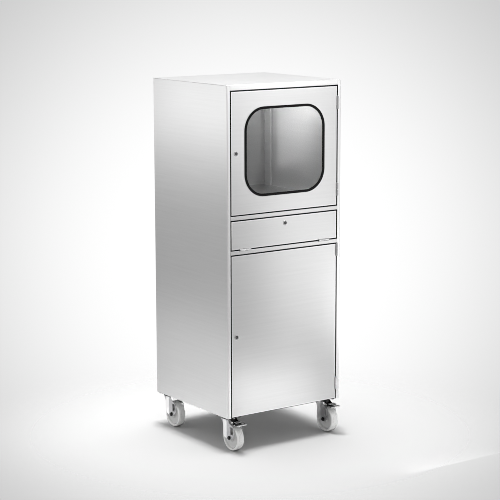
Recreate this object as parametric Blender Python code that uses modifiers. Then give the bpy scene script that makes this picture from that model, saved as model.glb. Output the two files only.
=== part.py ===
"""Tall mobile cabinet in folded stainless steel, for a screen, a keyboard and a computer.

The upper compartment has a door with a round-cornered window held by a rubber profile, the
middle one has a flap that folds down, and the lower one has a plain door. Everything hangs on
lift-off barrel hinges, closes with quarter-turn locks and stands on four swivel castors.

+X is the cabinet's right as seen from the front, -Y its front and +Z is up. The origin is on
the floor, below the middle of the whole object. The empty "cabinet_datum" puts the cabinet's
own datum (middle of the body, body underside) in place; all lengths below are from there.
"""

import math

import bpy
import bmesh
from mathutils import Matrix, Vector

MM = 0.001

# Body
WIDTH = 640 * MM
DEPTH = 612 * MM
HEIGHT = 1520 * MM
SHEET = 1.5 * MM
BEND = 2.5 * MM          # outer radius of a fold
BEND_STEPS = 3
FIT = 0.3 * MM           # space between pieces that touch or are welded
ROOF_SEAM = 1.2 * MM     # open seam between the sides and the roof
FRONT = -DEPTH / 2
BACK = DEPTH / 2

# Front frame: stiles, rails and the gaps round the doors
STILE = 18 * MM
TOP_RAIL = 25 * MM
RAIL = 19 * MM
GAP = 4 * MM
JAMB = 24 * MM           # depth of the frame behind its face
LIP = 12 * MM            # stop that the doors close against
OPENING_HALF = WIDTH / 2 - STILE

# Doors and flap, all folded pans, from the top down
PAN_DEPTH = 20 * MM
PAN_RETURN = 15 * MM
LEAF_WIDTH = 2 * (OPENING_HALF - GAP)
UPPER_DOOR_HEIGHT = 555 * MM
FLAP_HEIGHT = 130 * MM
UPPER_DOOR_TOP = HEIGHT - TOP_RAIL - GAP
UPPER_DOOR_BOTTOM = UPPER_DOOR_TOP - UPPER_DOOR_HEIGHT
UPPER_RAIL_TOP = UPPER_DOOR_BOTTOM - GAP
FLAP_TOP = UPPER_RAIL_TOP - RAIL - GAP
FLAP_BOTTOM = FLAP_TOP - FLAP_HEIGHT
LOWER_RAIL_TOP = FLAP_BOTTOM - GAP
LOWER_DOOR_TOP = LOWER_RAIL_TOP - RAIL - GAP
LOWER_DOOR_BOTTOM = SHEET + 2 * MM

# Fixed floors behind the frame
FLOOR_FRONT = FRONT + JAMB + SHEET + FIT
FLOOR_STEP = 31 * MM     # floor of the upper compartment above its door's bottom edge
FLOOR_FLANGE = 28 * MM
BACK_PANEL_BACK = BACK - SHEET - FIT
BACK_PANEL_FRONT = BACK_PANEL_BACK - SHEET
INNER_HALF = WIDTH / 2 - SHEET - FIT

# Window
WINDOW_Z = 1214.5 * MM
WINDOW_HALF_X = 219.4 * MM
WINDOW_HALF_Z = 197.5 * MM
WINDOW_RADIUS = 101 * MM
WINDOW_CORNER_STEPS = 6
PROFILE_HALF = 5.8 * MM
PROFILE_PROUD = 3 * MM
PROFILE_WEB = 2 * MM
PANE = 4 * MM

# Barrel hinges
HINGE_RADIUS = 5 * MM
HINGE_LENGTH = 60 * MM
HINGE_PIN_RADIUS = 2.5 * MM
HINGE_PIN_LENGTH = 22 * MM
HINGE_STEPS = 12
HINGE_PROUD = 2 * MM     # hinge axis in front of the doors' faces
HINGE_X = OPENING_HALF - GAP / 2 + 1 * MM
HINGE_Y = FRONT - HINGE_PROUD
FLAP_HINGE_Z = FLAP_BOTTOM - GAP / 2
FLAP_HINGE_X = 223 * MM
UPPER_HINGES = (1414 * MM, 1010 * MM)
LOWER_HINGES = (724 * MM, 79 * MM)
NOTCH_SPACE = 0.7 * MM

# Quarter-turn locks
LOCK_X = -272 * MM
UPPER_LOCK_Z = 1214 * MM
LOWER_LOCK_Z = 377 * MM
FLAP_LOCK_Z = FLAP_TOP - 31 * MM
LOCK_STEPS = 16
COLLAR_RADIUS = 11.5 * MM
COLLAR_PROUD = 2.5 * MM
BARREL_RADIUS = 9 * MM
BARREL_LENGTH = 21 * MM
RECESS_RADIUS = 7.5 * MM
RECESS_DEPTH = 8 * MM
SHANK_RADIUS = 5.5 * MM
CAM_DEPTH = JAMB + SHEET + 1.5 * MM
CAM_THICKNESS = 2 * MM
CAM_REACH = 26 * MM
CAM_HALF_WIDTH = 6 * MM
SPIGOT_RADIUS = 3.5 * MM
NUT_FLATS = 24 * MM
NUT_THICKNESS = 4 * MM

# Slotted uprights for shelf brackets
UPRIGHT_WIDTH = 49 * MM
UPRIGHT_STANDOFF = 10 * MM
UPRIGHT_FRONT = 8.5 * MM # front uprights behind the floors' front edges
UPRIGHT_BACK = 17 * MM   # rear uprights in front of the back panel
SLOT_LENGTH = 17 * MM
SLOT_HEIGHT = 4 * MM
SLOT_PITCH = 50 * MM
SLOT_COLUMNS = (-12.5 * MM, 12.5 * MM)
SLOT_LEVELS = 10
FIRST_SLOT = 16 * MM     # lowest slots above the compartment floor

# Castors
CASTOR_HEIGHT = 160 * MM
SWIVEL_X = 272 * MM
FRONT_SWIVEL_Y = -239 * MM
REAR_SWIVEL_Y = 255 * MM
WHEEL_RADIUS = 62.5 * MM
WHEEL_HALF = 18 * MM
WHEEL_STEPS = 24
TRAIL = 40 * MM
CASTOR_STEPS = 20
AXLE_RADIUS = 5 * MM
PLATE_X = 85 * MM
PLATE_Y = 100 * MM
PLATE = 3 * MM
RACE_RADIUS = 27 * MM
RACE_DROP = 5.5 * MM
CROWN_TOP = -PLATE - FIT - 1.5 * MM
CROWN_DISH = -PLATE - RACE_DROP - 2 * FIT
CROWN_RADIUS = 33 * MM
CROWN = 9 * MM
LEG = 3 * MM
LEG_INSIDE = 21 * MM
PEDAL_HINGE_Y = -38 * MM
PEDAL_HINGE_Z = -14 * MM
PEDAL_PIN_RADIUS = 2.5 * MM
PEDAL_ARM_HALF = 15 * MM
PEDAL_TIP = 113 * MM     # pedal's reach in front of the swivel axis
PEDAL_HALF = 27 * MM

AXLE_Z = WHEEL_RADIUS - CASTOR_HEIGHT
FRONT_REACH = PEDAL_TIP - FRONT_SWIVEL_Y
DATUM_Y = (FRONT_REACH - BACK) / 2

COLLECTION = "mobile_cabinet"
CUTTERS = "cutters"


# ---------------------------------------------------------------- scene helpers

def clear_scene():
    for obj in list(bpy.data.objects):
        bpy.data.objects.remove(obj, do_unlink=True)
    for name in (COLLECTION, CUTTERS):
        old = bpy.data.collections.get(name)
        if old is not None:
            bpy.data.collections.remove(old)
        bpy.context.scene.collection.children.link(bpy.data.collections.new(name))


def make_material(name, colour, roughness, metallic, alpha=1.0):
    material = bpy.data.materials.new(name)
    material.use_nodes = True
    shader = material.node_tree.nodes["Principled BSDF"]
    shader.inputs["Base Color"].default_value = (*colour, 1.0)
    shader.inputs["Roughness"].default_value = roughness
    shader.inputs["Metallic"].default_value = metallic
    shader.inputs["Alpha"].default_value = alpha
    return material


def link(name, mesh, material=None, collection=COLLECTION):
    obj = bpy.data.objects.new(name, mesh)
    bpy.data.collections[collection].objects.link(obj)
    if material is not None:
        mesh.materials.append(material)
    return obj


def mesh_from(bm, name):
    bmesh.ops.recalc_face_normals(bm, faces=bm.faces)
    mesh = bpy.data.meshes.new(name)
    bm.to_mesh(mesh)
    bm.free()
    return mesh


def smooth(obj, angle=35):
    obj.data.shade_smooth()
    obj.data.set_sharp_from_angle(angle=math.radians(angle))


def empty(name, location, parent=None):
    pivot = bpy.data.objects.new(name, None)
    pivot.empty_display_size = 0.03
    pivot.location = location
    pivot.parent = parent
    bpy.data.collections[COLLECTION].objects.link(pivot)
    return pivot


def attach(pivot, datum_place, *objects):
    """Parent objects placed in the cabinet's datum to a pivot that stands at datum_place."""
    for obj in objects:
        obj.location -= Vector(datum_place)
        obj.parent = pivot


# ---------------------------------------------------------------- shape helpers

def box_bmesh(low, high):
    bm = bmesh.new()
    bmesh.ops.create_cube(bm, size=1.0)
    size = Vector(high) - Vector(low)
    bmesh.ops.scale(bm, vec=size, verts=bm.verts)
    bmesh.ops.translate(bm, vec=(Vector(high) + Vector(low)) / 2, verts=bm.verts)
    return bm


def box(name, low, high, material=None, collection=COLLECTION):
    return link(name, mesh_from(box_bmesh(low, high), name), material, collection)


def boolean(obj, tool, operation="DIFFERENCE"):
    tool.hide_render = True
    tool.display_type = "WIRE"
    modifier = obj.modifiers.new(tool.name, "BOOLEAN")
    modifier.operation = operation
    modifier.object = tool


def cut_box(obj, low, high):
    tool = box(obj.name + "_cut", low, high, collection=CUTTERS)
    boolean(obj, tool)
    return tool


def rounded(points, radius, steps=BEND_STEPS):
    """Open line through the points, with an arc of the given radius at each inner corner."""
    line = [Vector(points[0])]
    for before, corner, after in zip(points, points[1:], points[2:]):
        corner = Vector(corner)
        towards_start = (Vector(before) - corner).normalized()
        towards_end = (Vector(after) - corner).normalized()
        half_angle = towards_start.angle(towards_end) / 2
        reach = radius / math.tan(half_angle)
        centre = corner + (towards_start + towards_end).normalized() * radius / math.sin(half_angle)
        first = corner + towards_start * reach - centre
        last = corner + towards_end * reach - centre
        turn = first.angle_signed(last)
        for step in range(steps + 1):
            arm = first.copy()
            arm.rotate(Matrix.Rotation(-turn * step / steps, 2))
            line.append(centre + arm)
    line.append(Vector(points[-1]))
    return line


def folded_sheet(name, outline, place, run, material):
    """Sheet folded along an outline and extruded along run; the sheet grows to its inner side.

    place turns an outline point into a 3-D point at the start of the run.
    """
    bm = bmesh.new()
    verts = [bm.verts.new(place(point)) for point in outline]
    edges = [bm.edges.new(pair) for pair in zip(verts, verts[1:])]
    grown = bmesh.ops.extrude_edge_only(bm, edges=edges)["geom"]
    bmesh.ops.translate(bm, vec=run, verts=[v for v in grown if isinstance(v, bmesh.types.BMVert)])
    mesh = bpy.data.meshes.new(name)
    bm.to_mesh(mesh)
    bm.free()
    obj = link(name, mesh, material)
    solidify = obj.modifiers.new("sheet", "SOLIDIFY")
    solidify.thickness = SHEET
    solidify.offset = -1.0
    solidify.use_even_offset = True
    smooth(obj)
    return obj


def pan(name, low, high, open_side, material, lip=0.0):
    """Folded pan: a box of sheet, open on the side that faces along open_side."""
    bm = box_bmesh(low, high)
    open_side = Vector(open_side)
    face = max(bm.faces, key=lambda f: f.normal.dot(open_side))
    closed = min(bm.faces, key=lambda f: f.normal.dot(open_side))
    rim = list(closed.edges)
    if lip:
        bmesh.ops.inset_region(bm, faces=[face], thickness=lip, use_even_offset=True)
    bmesh.ops.delete(bm, geom=[face], context="FACES")
    bmesh.ops.bevel(bm, geom=rim, offset=BEND, segments=BEND_STEPS, profile=0.5,
                    affect="EDGES")
    obj = link(name, mesh_from_open(bm, name), material)
    solidify = obj.modifiers.new("sheet", "SOLIDIFY")
    solidify.thickness = SHEET
    solidify.offset = -1.0
    solidify.use_even_offset = True
    smooth(obj)
    return obj


def mesh_from_open(bm, name):
    mesh = bpy.data.meshes.new(name)
    bm.to_mesh(mesh)
    bm.free()
    return mesh


def turned(name, profile, steps, material=None, axis="Z", collection=COLLECTION):
    """Solid of revolution; profile is (radius, height) pairs down the outer side from the top.

    A profile that starts and ends on the axis is a solid, any other is closed into a ring.
    """
    bm = bmesh.new()
    verts = [bm.verts.new((radius, 0, height)) for radius, height in profile]
    for pair in zip(verts, verts[1:]):
        bm.edges.new(pair)
    if profile[0][0] > 0:
        bm.edges.new((verts[-1], verts[0]))
    mesh = bpy.data.meshes.new(name)
    bm.to_mesh(mesh)
    bm.free()
    obj = link(name, mesh, material, collection)
    screw = obj.modifiers.new("turn", "SCREW")
    screw.steps = steps
    screw.render_steps = steps
    screw.use_merge_vertices = True
    screw.merge_threshold = 0.00001
    screw.use_smooth_shade = False
    if axis == "Y":
        obj.rotation_euler = (math.radians(90), 0, 0)
    elif axis == "X":
        obj.rotation_euler = (0, math.radians(90), 0)
    return obj


def arc(centre, radius, start, end, steps):
    """Points on an arc, angles in degrees."""
    points = []
    for step in range(steps + 1):
        angle = math.radians(start + (end - start) * step / steps)
        points.append((centre[0] + radius * math.cos(angle), centre[1] + radius * math.sin(angle)))
    return points


def flat_outline(name, outline, thickness, material=None, holes=(), collection=COLLECTION):
    """Plate cut to an outline in its own XY plane, centred on that plane."""
    curve = bpy.data.curves.new(name, "CURVE")
    curve.dimensions = "2D"
    curve.fill_mode = "BOTH"
    curve.extrude = thickness / 2
    for points in (outline, *holes):
        spline = curve.splines.new("POLY")
        spline.points.add(len(points) - 1)
        for slot, (x, y) in zip(spline.points, points):
            slot.co = (x, y, 0, 1)
        spline.use_cyclic_u = True
    source = bpy.data.objects.new(name + "_outline", curve)
    bpy.context.scene.collection.objects.link(source)
    graph = bpy.context.evaluated_depsgraph_get()
    mesh = bpy.data.meshes.new_from_object(source.evaluated_get(graph))
    bpy.data.objects.remove(source, do_unlink=True)
    bm = bmesh.new()
    bm.from_mesh(mesh)
    bmesh.ops.remove_doubles(bm, verts=bm.verts, dist=0.00001)
    bmesh.ops.recalc_face_normals(bm, faces=bm.faces)
    bm.to_mesh(mesh)
    bm.free()
    mesh.name = name
    return link(name, mesh, material, collection)


def window_outline(outset):
    """Rounded rectangle of the window, moved out from its middle line."""
    radius = WINDOW_RADIUS + outset
    across = WINDOW_HALF_X - WINDOW_RADIUS
    up = WINDOW_HALF_Z - WINDOW_RADIUS
    corners = ((across, up, 0), (-across, up, 90), (-across, -up, 180), (across, -up, 270))
    points = []
    for x, y, start in corners:
        points += arc((x, y), radius, start, start + 90, WINDOW_CORNER_STEPS)
    return points


# ---------------------------------------------------------------- body

def side_panels(steel):
    """Both sides: stop lip, jamb, stile, wall and rear flange are one folded sheet each."""
    sides = {}
    for name, sign in (("left_side", -1), ("right_side", 1)):
        outline = rounded([
            (sign * (OPENING_HALF - LIP), FRONT + JAMB),
            (sign * OPENING_HALF, FRONT + JAMB),
            (sign * OPENING_HALF, FRONT),
            (sign * WIDTH / 2, FRONT),
            (sign * WIDTH / 2, BACK),
            (sign * OPENING_HALF, BACK),
        ], BEND)
        if sign > 0:
            outline.reverse()
        sides[name] = folded_sheet(name, outline, lambda p: (p.x, p.y, 0),
                                   (0, 0, HEIGHT - SHEET - ROOF_SEAM), steel)
    for height in UPPER_HINGES + LOWER_HINGES:
        half = HINGE_LENGTH / 2 + NOTCH_SPACE
        cut_box(sides["right_side"],
                (HINGE_X - HINGE_RADIUS, HINGE_Y - HINGE_RADIUS, height - half),
                (HINGE_X + HINGE_RADIUS + NOTCH_SPACE, HINGE_Y + HINGE_RADIUS + NOTCH_SPACE,
                 height + half))


def trim_to_opening(obj, bottom, top):
    """Cut a cross piece back to the opening, and behind its face to the side stops."""
    low = bottom - LIP - BEND
    behind = FRONT + JAMB
    for sign in (-1, 1):
        inner, outer = sorted((sign * (OPENING_HALF - FIT), sign * WIDTH))
        cut_box(obj, (inner, FRONT - BEND, low), (outer, BACK + BEND, top))
        inner, outer = sorted((sign * (OPENING_HALF - LIP - FIT), sign * WIDTH))
        cut_box(obj, (inner, behind - BEND - FIT, low), (outer, behind + LIP, top))


def top_panel(steel):
    """Roof sheet whose front folds down into the top rail and its stop lip."""
    rail_bottom = HEIGHT - TOP_RAIL
    outline = rounded([
        (FRONT + JAMB, rail_bottom - LIP),
        (FRONT + JAMB, rail_bottom),
        (FRONT, rail_bottom),
        (FRONT, HEIGHT),
        (BACK, HEIGHT),
        (BACK, HEIGHT - 20 * MM),
    ], BEND)
    roof = folded_sheet("top_panel", outline, lambda p: (-WIDTH / 2, p.x, p.y),
                        (WIDTH, 0, 0), steel)
    trim_to_opening(roof, rail_bottom, HEIGHT - SHEET - FIT)


def cross_rail(name, bottom, steel):
    """Channel between the stiles, with a stop lip that hangs behind the leaf below it."""
    top = bottom + RAIL
    outline = rounded([
        (FRONT + JAMB, bottom - LIP),
        (FRONT + JAMB, bottom),
        (FRONT, bottom),
        (FRONT, top),
        (FRONT + JAMB - FIT, top),
    ], BEND)
    rail = folded_sheet(name, outline, lambda p: (-OPENING_HALF + FIT, p.x, p.y),
                        (2 * (OPENING_HALF - FIT), 0, 0), steel)
    trim_to_opening(rail, bottom, top + BEND)
    return rail


def floors(steel):
    """The two fixed floors are pans that face down; the base is a tray that faces up."""
    back = BACK_PANEL_FRONT - FIT
    tops = {
        "monitor_floor": UPPER_DOOR_BOTTOM + FLOOR_STEP,
        "keyboard_floor": FLAP_HINGE_Z + PAN_DEPTH + HINGE_PROUD,
    }
    for name, top in tops.items():
        pan(name, (-INNER_HALF, FLOOR_FRONT, top - FLOOR_FLANGE), (INNER_HALF, back, top),
            (0, 0, -1), steel)
    base = pan("base_tray", (-INNER_HALF, FLOOR_FRONT, 0), (INNER_HALF, back, FLOOR_FLANGE),
               (0, 0, 1), steel)
    sill = box("base_sill", (-OPENING_HALF + LIP + FIT, FRONT + 2 * GAP, 0),
               (OPENING_HALF - LIP - FIT, FLOOR_FRONT + 4 * BEND, SHEET), collection=CUTTERS)
    boolean(base, sill, "UNION")


def back_panel(steel):
    half = INNER_HALF - BEND
    box("back_panel", (-half, BACK_PANEL_FRONT, 0),
        (half, BACK_PANEL_BACK, HEIGHT - SHEET - BEND), steel)


def slotted_uprights(steel):
    """Four channels with two columns of slots each, on the side walls of the top compartment."""
    floor = UPPER_DOOR_BOTTOM + FLOOR_STEP
    bottom = floor + FIT
    top = HEIGHT - TOP_RAIL - LIP
    half = UPRIGHT_WIDTH / 2
    front_y = FLOOR_FRONT + UPRIGHT_FRONT + half
    rear_y = BACK_PANEL_FRONT - UPRIGHT_BACK - half
    places = {
        "upright_front_left": (-1, front_y), "upright_front_right": (1, front_y),
        "upright_rear_left": (-1, rear_y), "upright_rear_right": (1, rear_y),
    }
    for name, (sign, y) in places.items():
        web = sign * (INNER_HALF - UPRIGHT_STANDOFF)
        wall = sign * INNER_HALF
        outline = rounded([(wall, y - half), (web, y - half), (web, y + half), (wall, y + half)],
                          BEND)
        if sign < 0:
            outline.reverse()
        upright = folded_sheet(name, outline, lambda p: (p.x, p.y, bottom),
                               (0, 0, top - bottom), steel)
        slots = bmesh.new()
        for level in range(SLOT_LEVELS):
            for column in SLOT_COLUMNS:
                made = bmesh.ops.create_cube(slots, size=1.0)["verts"]
                bmesh.ops.scale(slots, vec=(4 * BEND, SLOT_LENGTH, SLOT_HEIGHT), verts=made)
                height = floor + FIRST_SLOT + level * SLOT_PITCH
                bmesh.ops.translate(slots, vec=(web, y + column, height), verts=made)
        tool = link(name + "_slots", mesh_from(slots, name + "_slots"), collection=CUTTERS)
        boolean(upright, tool)


# ---------------------------------------------------------------- hinges and locks

def hinge(prefix, centre, along, steel, fixed_first):
    """Lift-off barrel hinge: a half with a pin and a half with a blind bore.

    The halves share the length evenly; along is "Z" or "X", and the pin half is the lower or
    left one when fixed_first is true.
    """
    half = HINGE_LENGTH / 2 - FIT / 2
    chamfer = 0.6 * MM
    bore = HINGE_PIN_RADIUS + FIT
    pin_profile = [
        (0, half + HINGE_PIN_LENGTH), (HINGE_PIN_RADIUS, half + HINGE_PIN_LENGTH),
        (HINGE_PIN_RADIUS, half), (HINGE_RADIUS, half), (HINGE_RADIUS, chamfer),
        (HINGE_RADIUS - chamfer, 0), (0, 0),
    ]
    cap_profile = [
        (0, half), (HINGE_RADIUS - chamfer, half), (HINGE_RADIUS, half - chamfer),
        (HINGE_RADIUS, 0), (bore, 0), (bore, HINGE_PIN_LENGTH + 1 * MM),
        (0, HINGE_PIN_LENGTH + 1 * MM),
    ]
    pin_half = turned(prefix + "_pin", pin_profile, HINGE_STEPS, steel, axis=along)
    cap_half = turned(prefix + "_barrel", cap_profile, HINGE_STEPS, steel, axis=along)
    direction = Vector((0, 0, 1)) if along == "Z" else Vector((1, 0, 0))
    if not fixed_first:
        direction = -direction
    pin_half.location = Vector(centre) - direction * HINGE_LENGTH / 2
    cap_half.location = Vector(centre) + direction * FIT / 2
    for half_obj in (pin_half, cap_half):
        smooth(half_obj)
    return pin_half, cap_half


def lock(prefix, x, z, cam_angle, steel, plated):
    """Quarter-turn lock through a leaf's face: housing, nut, plug with its insert, and cam."""
    face = FRONT
    collar_edge = COLLAR_RADIUS - 1 * MM
    clearance = FIT
    housing_profile = [
        (RECESS_RADIUS, COLLAR_PROUD), (collar_edge, COLLAR_PROUD),
        (COLLAR_RADIUS, COLLAR_PROUD - 1 * MM), (COLLAR_RADIUS, clearance),
        (BARREL_RADIUS, clearance), (BARREL_RADIUS, -BARREL_LENGTH),
        (SHANK_RADIUS + clearance, -BARREL_LENGTH), (SHANK_RADIUS + clearance, -RECESS_DEPTH),
        (RECESS_RADIUS, -RECESS_DEPTH),
    ]
    housing = turned(prefix + "_housing", housing_profile, LOCK_STEPS, plated, axis="Y")
    seat = -RECESS_DEPTH + clearance
    plug_profile = [
        (0, 1 * MM), (3 * MM, 1 * MM), (3 * MM, seat + 3 * MM),
        (RECESS_RADIUS - clearance, seat + 3 * MM), (RECESS_RADIUS - clearance, seat),
        (SHANK_RADIUS, seat), (SHANK_RADIUS, -CAM_DEPTH + clearance),
        (SPIGOT_RADIUS, -CAM_DEPTH + clearance), (SPIGOT_RADIUS, -CAM_DEPTH - 4 * MM),
        (0, -CAM_DEPTH - 4 * MM),
    ]
    plug = turned(prefix + "_plug", plug_profile, LOCK_STEPS, plated, axis="Y")
    wings = box(prefix + "_wings", (-5.2 * MM, -1.1 * MM, seat + 2 * MM),
                (5.2 * MM, 1.1 * MM, -0.5 * MM), collection=CUTTERS)
    boolean(plug, wings, "UNION")
    hole = arc((0, 0), SPIGOT_RADIUS + clearance, 0, 360 - 360 / 16, 15)
    outline = (arc((0, 0), CAM_HALF_WIDTH, 90, 270, 6)
               + arc((CAM_REACH - 2 * MM, 0), CAM_HALF_WIDTH - 2 * MM, -60, 60, 3))
    cam = flat_outline(prefix + "_cam", outline, CAM_THICKNESS, steel, holes=[hole])
    nut_hole = arc((0, 0), BARREL_RADIUS + clearance, 0, 360 - 360 / 20, 19)
    hexagon = arc((0, 0), NUT_FLATS / math.sqrt(3), 0, 300, 5)
    nut = flat_outline(prefix + "_nut", hexagon, NUT_THICKNESS, plated, holes=[nut_hole])
    upright_disc = (math.radians(90), 0, 0)
    housing.location = (x, face, z)
    plug.location = (x, face, z)
    wings.rotation_euler = upright_disc
    wings.location = (x, face, z)
    cam.rotation_euler = (math.radians(90), math.radians(-cam_angle), 0)
    cam.location = (x, face + CAM_DEPTH + CAM_THICKNESS / 2, z)
    nut.rotation_euler = upright_disc
    nut.location = (x, face + SHEET + clearance + NUT_THICKNESS / 2, z)
    for obj in (housing, plug, cam, nut):
        smooth(obj)
    return housing, nut, plug, cam, wings


# ---------------------------------------------------------------- doors and flap

def leaf_pan(name, bottom, top, steel, lock_x, lock_z):
    """Door or flap with the hole for its lock."""
    leaf = pan(name, (-LEAF_WIDTH / 2, FRONT, bottom), (LEAF_WIDTH / 2, FRONT + PAN_DEPTH, top),
               (0, 1, 0), steel, lip=PAN_RETURN)
    radius = BARREL_RADIUS + FIT
    hole = turned(name + "_lock_hole", [(0, GAP), (radius, GAP), (radius, -GAP), (0, -GAP)],
                  LOCK_STEPS, axis="Y", collection=CUTTERS)
    hole.location = (lock_x, FRONT, lock_z)
    boolean(leaf, hole)
    return leaf, hole


def notch_leaf_side(leaf, height):
    """Space in a door's right edge for a hinge barrel."""
    half = HINGE_LENGTH / 2 + NOTCH_SPACE
    return cut_box(leaf, (HINGE_X - HINGE_RADIUS - 3 * NOTCH_SPACE, HINGE_Y - HINGE_RADIUS,
                          height - half),
                   (HINGE_X + GAP, HINGE_Y + HINGE_RADIUS + NOTCH_SPACE, height + half))


def hinged_door(prefix, bottom, top, hinge_heights, lock_z, steel, plated, datum):
    """A door on the right-hand stile, with its hinge halves and lock."""
    leaf, hole = leaf_pan(prefix, bottom, top, steel, LOCK_X, lock_z)
    cutters = [hole]
    moving = [leaf]
    for label, height in zip(("top", "bottom"), hinge_heights):
        cutters.append(notch_leaf_side(leaf, height))
        pin_half, cap_half = hinge("%s_hinge_%s" % (prefix, label),
                                   (HINGE_X, HINGE_Y, height), "Z", steel, True)
        pin_half.parent = datum
        moving.append(cap_half)
    housing, nut, plug, cam, wings = lock(prefix + "_lock", LOCK_X, lock_z, -90, steel, plated)
    moving += [housing, nut]
    place = (HINGE_X, HINGE_Y, 0)
    pivot = empty(prefix + "_axis", place, datum)
    attach(pivot, place, *moving, *cutters)
    lock_place = (LOCK_X, FRONT, lock_z)
    lock_pivot = empty(prefix + "_lock_axis", Vector(lock_place) - Vector(place), pivot)
    attach(lock_pivot, lock_place, plug, cam, wings)
    return leaf, pivot, place


def window(steel_door, pivot, place, rubber, glass):
    """Opening in the upper door, its rubber profile and its pane."""
    mid_y = FRONT + SHEET / 2
    upright = (math.radians(90), 0, 0)
    cutter = flat_outline("window_opening", window_outline(PROFILE_WEB - FIT), PAN_DEPTH,
                          collection=CUTTERS)
    cutter.rotation_euler = upright
    cutter.location = (0, mid_y, WINDOW_Z)
    boolean(steel_door, cutter)
    pane = flat_outline("window_pane", window_outline(-PROFILE_WEB + FIT), PANE, glass)
    pane.rotation_euler = upright
    pane.location = (0, mid_y, WINDOW_Z)
    gasket = window_profile("window_gasket", rubber)
    gasket.location = (0, mid_y, WINDOW_Z)
    attach(pivot, place, cutter, pane, gasket)


def window_profile(name, rubber):
    """H-shaped rubber profile swept round the window: the door's sheet sits in its outer groove,
    the pane in its inner one."""
    sheet = SHEET / 2 + FIT
    pane = PANE / 2 + FIT
    proud = SHEET / 2 + PROFILE_PROUD
    web = PROFILE_WEB - 2 * FIT
    # outward from the middle line, forward from the middle plane
    section = [
        (PROFILE_HALF, sheet), (PROFILE_HALF - 0.8 * MM, proud - 0.8 * MM), (3 * MM, proud),
        (-PROFILE_HALF + 2 * MM, proud), (-PROFILE_HALF, pane),
        (-web, pane), (-web, -pane), (-PROFILE_HALF, -pane),
        (-PROFILE_HALF + 2 * MM, -proud), (3 * MM, -proud),
        (PROFILE_HALF - 0.8 * MM, -proud + 0.8 * MM), (PROFILE_HALF, -sheet),
        (web, -sheet), (web, sheet),
    ]
    bm = bmesh.new()
    loops = []
    for outset, forward in section:
        loops.append([bm.verts.new((x, -forward, z)) for x, z in window_outline(outset)])
    count = len(loops[0])
    for loop, following in zip(loops, loops[1:] + loops[:1]):
        for i in range(count):
            j = (i + 1) % count
            bm.faces.new((loop[i], loop[j], following[j], following[i]))
    gasket = link(name, mesh_from(bm, name), rubber)
    smooth(gasket)
    return gasket


def fold_down_flap(steel, plated, datum, rail):
    """Flap on the lower rail, hinged along its bottom edge."""
    flap, hole = leaf_pan("flap", FLAP_BOTTOM, FLAP_TOP, steel, 0, FLAP_LOCK_Z)
    cutters = [hole]
    moving = [flap]
    half = HINGE_LENGTH / 2 + NOTCH_SPACE
    reach = HINGE_RADIUS + NOTCH_SPACE
    for label, x in (("left", -FLAP_HINGE_X), ("right", FLAP_HINGE_X)):
        cutters.append(cut_box(flap, (x - half, HINGE_Y - reach, FLAP_HINGE_Z - reach),
                               (x + half, HINGE_Y + reach, FLAP_HINGE_Z + reach)))
        cut_box(rail, (x - half, HINGE_Y - reach, FLAP_HINGE_Z - reach),
                (x + half, HINGE_Y + reach, FLAP_HINGE_Z + reach))
        pin_half, cap_half = hinge("flap_hinge_" + label, (x, HINGE_Y, FLAP_HINGE_Z), "X", steel,
                                   x < 0)
        pin_half.parent = datum
        moving.append(cap_half)
        if x > 0:
            for half_obj in (pin_half, cap_half):
                half_obj.rotation_euler = (0, math.radians(-90), 0)
    housing, nut, plug, cam, wings = lock("flap_lock", 0, FLAP_LOCK_Z, 0, steel, plated)
    moving += [housing, nut]
    place = (0, HINGE_Y, FLAP_HINGE_Z)
    pivot = empty("flap_axis", place, datum)
    attach(pivot, place, *moving, *cutters)
    lock_place = (0, FRONT, FLAP_LOCK_Z)
    lock_pivot = empty("flap_lock_axis", Vector(lock_place) - Vector(place), pivot)
    attach(lock_pivot, lock_place, plug, cam, wings)


# ---------------------------------------------------------------- castors

def castor_plate(name, steel):
    """Mounting plate with the upper ball race and the king pin, underside of the body at z 0."""
    plate = box(name, (-PLATE_X / 2, -PLATE_Y / 2, -PLATE - FIT),
                (PLATE_X / 2, PLATE_Y / 2, -FIT), steel)
    race_bottom = -PLATE - RACE_DROP
    race = turned(name + "_race", [
        (0, -PLATE / 2), (RACE_RADIUS, -PLATE / 2), (RACE_RADIUS, race_bottom + 1 * MM),
        (RACE_RADIUS - 2 * MM, race_bottom), (6 * MM, race_bottom),
        (6 * MM, CROWN_TOP - CROWN - 4 * MM), (0, CROWN_TOP - CROWN - 4 * MM),
    ], CASTOR_STEPS, collection=CUTTERS)
    boolean(plate, race, "UNION")
    return plate, race


def fork_leg_outline():
    """Leg seen from the side: wide at the crown, slanting forward to a round end on the axle."""
    top = CROWN_DISH - 1.5 * MM
    waist = AXLE_Z + 32 * MM
    end = arc((-TRAIL, AXLE_Z), 11 * MM, 200, 330, 5)
    return [(-31 * MM, top), (-33 * MM, top - 12 * MM), (-51 * MM, AXLE_Z + 9 * MM), *end,
            (4 * MM, waist), (24 * MM, top - 26 * MM), (29 * MM, top)]


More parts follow.
